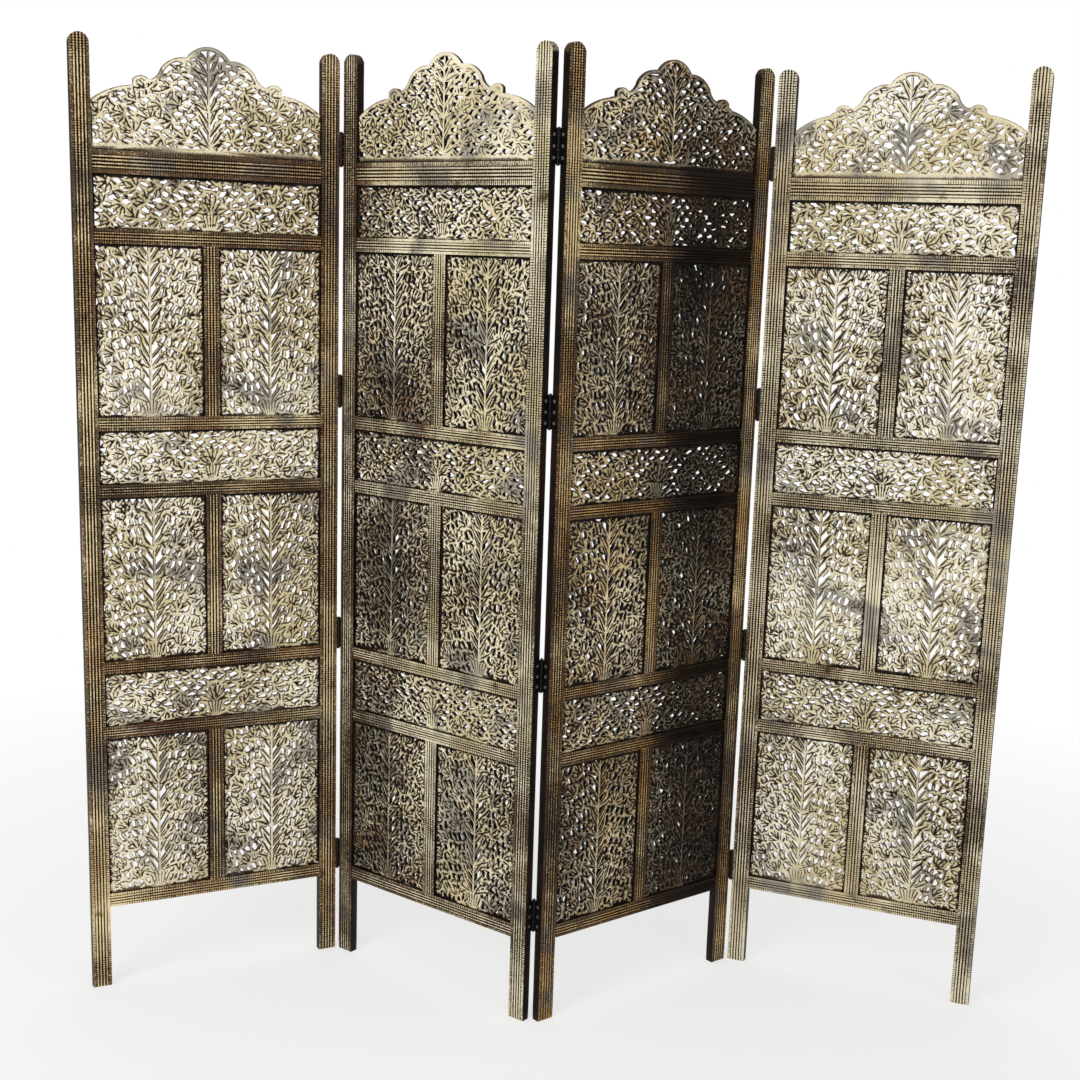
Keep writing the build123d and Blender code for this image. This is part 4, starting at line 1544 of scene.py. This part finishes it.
# ---------------------------------------------------------------- the room
@dataclass
class Studio:
    """Pale floor and backdrop, soft lamps, and the camera.

    Fields:
        camera_place: in metres.
        pitch, yaw, roll: the camera's angles in degrees.
        focal, image, axis: its focal length, frame and optical axis in pixels.
        sensor: its sensor's width in millimetres.
        room_light: strength of the even light from all around.
        floor_side: half of the floor's side in metres.
        floor_glow, glow_grows: how white the floor shows close by, and the distances between which it
            grows fully white.
    """

    camera_place: tuple[float, float, float] = (-0.0769, -3.0017, 1.4622)
    pitch: float = -11.506
    yaw: float = 1.493
    roll: float = 1.881
    focal: float = 1573.16
    image: float = 1080.0
    axis: tuple[float, float] = (547.55, 577.64)
    sensor: float = 36.0
    room_light: float = 0.42
    floor_side: float = 9.0
    floor_glow: float = 0.62
    glow_grows: tuple[float, float] = (0.9, 2.6)

    def camera(self) -> None:
        """Puts the camera in its place.

        It looks along +Y turned by the yaw to the right and by the pitch up, and leans by the roll. The lens
        is the focal length in pixels of the image times the sensor's width over the image's width. The shift
        moves the optical axis from the image's middle to its place.
        """
        pitch, yaw, roll = np.radians([self.pitch, self.yaw, self.roll])
        ahead = np.array([np.sin(yaw) * np.cos(pitch), np.cos(yaw) * np.cos(pitch), np.sin(pitch)])
        right = np.array([np.cos(yaw), -np.sin(yaw), 0.0])
        up = np.cross(right, ahead)
        across = np.cos(roll) * right + np.sin(roll) * up
        over = np.cos(roll) * up - np.sin(roll) * right
        turn = np.eye(4)
        turn[:3, :3] = np.column_stack([across, over, -ahead])
        turn[:3, 3] = self.camera_place
        lens = bpy.data.cameras.new("camera")
        lens.sensor_width = self.sensor
        lens.lens = self.focal * self.sensor / self.image
        lens.shift_x = (self.image / 2 - self.axis[0]) / self.image
        lens.shift_y = (self.axis[1] - self.image / 2) / self.image
        camera = bpy.data.objects.new("camera", lens)
        camera.matrix_world = Matrix(turn.tolist())
        bpy.context.scene.collection.objects.link(camera)
        bpy.context.scene.camera = camera

    def lamp(self, name: str, place: tuple, aim: tuple, size: float, watts: float) -> None:
        """Adds a square soft lamp.

        Args:
            name: its name.
            place, aim: where it hangs and what it points at, in metres.
            size: its side in metres.
            watts: its power.
        """
        light = bpy.data.lights.new(name, "AREA")
        light.shape = "SQUARE"
        light.size = size
        light.energy = watts
        lamp = bpy.data.objects.new(name, light)
        lamp.location = place
        lamp.rotation_euler = (Vector(aim) - Vector(place)).to_track_quat("-Z", "Y").to_euler()
        bpy.context.scene.collection.objects.link(lamp)

    def floor(self) -> None:
        """Lays the pale floor, which keeps the screen's shadow and grows white away from it."""
        side = self.floor_side
        corners = [(-side, -side, 0), (side, -side, 0), (side, side, 0), (-side, side, 0)]
        mesh = bpy.data.meshes.new("floor")
        mesh.from_pydata(corners, [], [(0, 1, 2, 3)])
        floor = bpy.data.objects.new("floor", mesh)
        bpy.context.scene.collection.objects.link(floor)
        material = bpy.data.materials.new("pale floor")
        bench = NodeBench.clear(material)
        seen = bench.seen("Is Camera Ray", "Is Glossy Ray", "Is Transmission Ray")
        away = bench.node("VectorMath", {0: bench.node("TexCoord").outputs["Object"]}, operation="LENGTH")
        near, far = self.glow_grows
        reach = {0: away.outputs["Value"], 1: near, 2: far, 3: self.floor_glow, 4: 1.0}
        share = bench.maths("MULTIPLY", seen, bench.node("MapRange", reach).outputs[0])
        matt = bench.node("BsdfDiffuse", {"Color": linear(238, 238, 236)})
        glow = bench.node("Emission", {"Color": linear(255, 255, 255), "Strength": 1.0})
        mixed = bench.node("MixShader", {0: share, 1: matt.outputs[0], 2: glow.outputs[0]})
        bench.node("OutputMaterial", {"Surface": mixed.outputs[0]})
        mesh.materials.append(material)

    def sky(self) -> None:
        """Fills the room with even light, and shows white behind the screen."""
        world = bpy.data.worlds.new("room")
        bpy.context.scene.world = world
        bench = NodeBench.clear(world)
        strength = bench.span(bench.seen("Is Camera Ray", "Is Transmission Ray"), self.room_light, 1.0)
        back = bench.node("Background", {"Color": linear(255, 255, 255), "Strength": strength})
        bench.node("OutputWorld", {"Surface": back.outputs[0]})

    def build(self) -> None:
        """Sets up the whole room."""
        self.camera()
        self.lamp("window", place=(-2.6, -3.2, 2.6), aim=(0.0, 0.0, 0.9), size=2.4, watts=95.0)
        self.lamp("fill", place=(2.8, -3.4, 1.6), aim=(0.0, 0.0, 0.9), size=2.6, watts=38.0)
        self.lamp("ceiling", place=(0.0, 0.4, 4.0), aim=(0.0, 0.0, 0.8), size=3.0, watts=45.0)
        self.floor()
        self.sky()
        bpy.context.scene.view_settings.view_transform = "Standard"


LEAVES = (
    LeafPlace(1, 25.0, "fold_leaf_1", (LEAF_WIDTH + PIN_ASIDE, -PIN_DEPTH)),
    LeafPlace(2, -39.0, "fold_leaf_1", (-PIN_ASIDE, -PIN_DEPTH)),
    LeafPlace(3, 37.0, "fold_leaf_3", (-PIN_ASIDE, STILE_THICKNESS + PIN_DEPTH)),
    LeafPlace(4, -23.0, "fold_leaf_4", (-PIN_ASIDE, -PIN_DEPTH)),
)
# The ramps along X on leaves 2 and 3 are painted shade towards their back ends.
REEDED = (
    ReededPaint("reeded wood, leaf 1", wear=0.62, gold=(212, 178, 126), pale=(238, 218, 170)),
    ReededPaint("reeded wood, leaf 2", wear=0.55, shade_ramp=(-0.3, -0.42, 0.16)),
    ReededPaint(
        "reeded wood, leaf 3", wear=0.69, gold=(206, 160, 94), pale=(232, 208, 154),
        shade_ramp=(0.18, 0.32, 0.6), whole=0.3795,
    ),
    ReededPaint("reeded wood, leaf 4", wear=0.5, gold=(214, 196, 156)),
)
# On leaves 2 and 3 the ramps along X are painted shade towards their back ends, and on every leaf the paler
# top above the crest rail is painted light.
CARVED = (
    AgedPaint(
        "carved board, leaf 1", wear=0.49, pale=(242, 232, 204), wash=(124, 109, 88), hollow=0.3, top_light=0.08,
    ),
    AgedPaint(
        "carved board, leaf 2", wear=0.61, pale=(242, 232, 202), shade_ramp=(-0.16, -0.36, 0.22), top_light=0.34,
    ),
    AgedPaint(
        "carved board, leaf 3", wear=0.75, pale=(238, 222, 184), gold=(204, 178, 128),
        shade_ramp=(0.14, 0.28, 0.34), top_light=0.14,
    ),
    AgedPaint("carved board, leaf 4", wear=0.49, pale=(242, 233, 206), hollow=0.32, top_light=0.1),
)
METALS = {
    "hinge_plates": Iron(
        "black iron", colour=(24, 23, 22), worn=(70, 68, 64), rust=(74, 44, 26), rusting=0.62,
        roughness=0.45,
    ),
    "hinge_pins": Iron(
        "dark steel", colour=(40, 40, 38), worn=(120, 118, 112), rust=(80, 50, 30), rusting=0.64,
        roughness=0.38,
    ),
    "hinge_screws": Iron(
        "bright steel", colour=(176, 174, 166), worn=(206, 204, 198), rust=(96, 66, 42), rusting=0.66,
        roughness=0.32,
    ),
}


def main() -> None:
    """Builds the room, the leaves and the hinges, and notes the sizes."""
    Studio().build()
    for place, reeded, carved in zip(LEAVES, REEDED, CARVED):
        Leaf(place, LeafFinishes(reeded.build(), carved.build())).build()
    Hardware(METALS).dress()


if __name__ == "__main__":
    main()
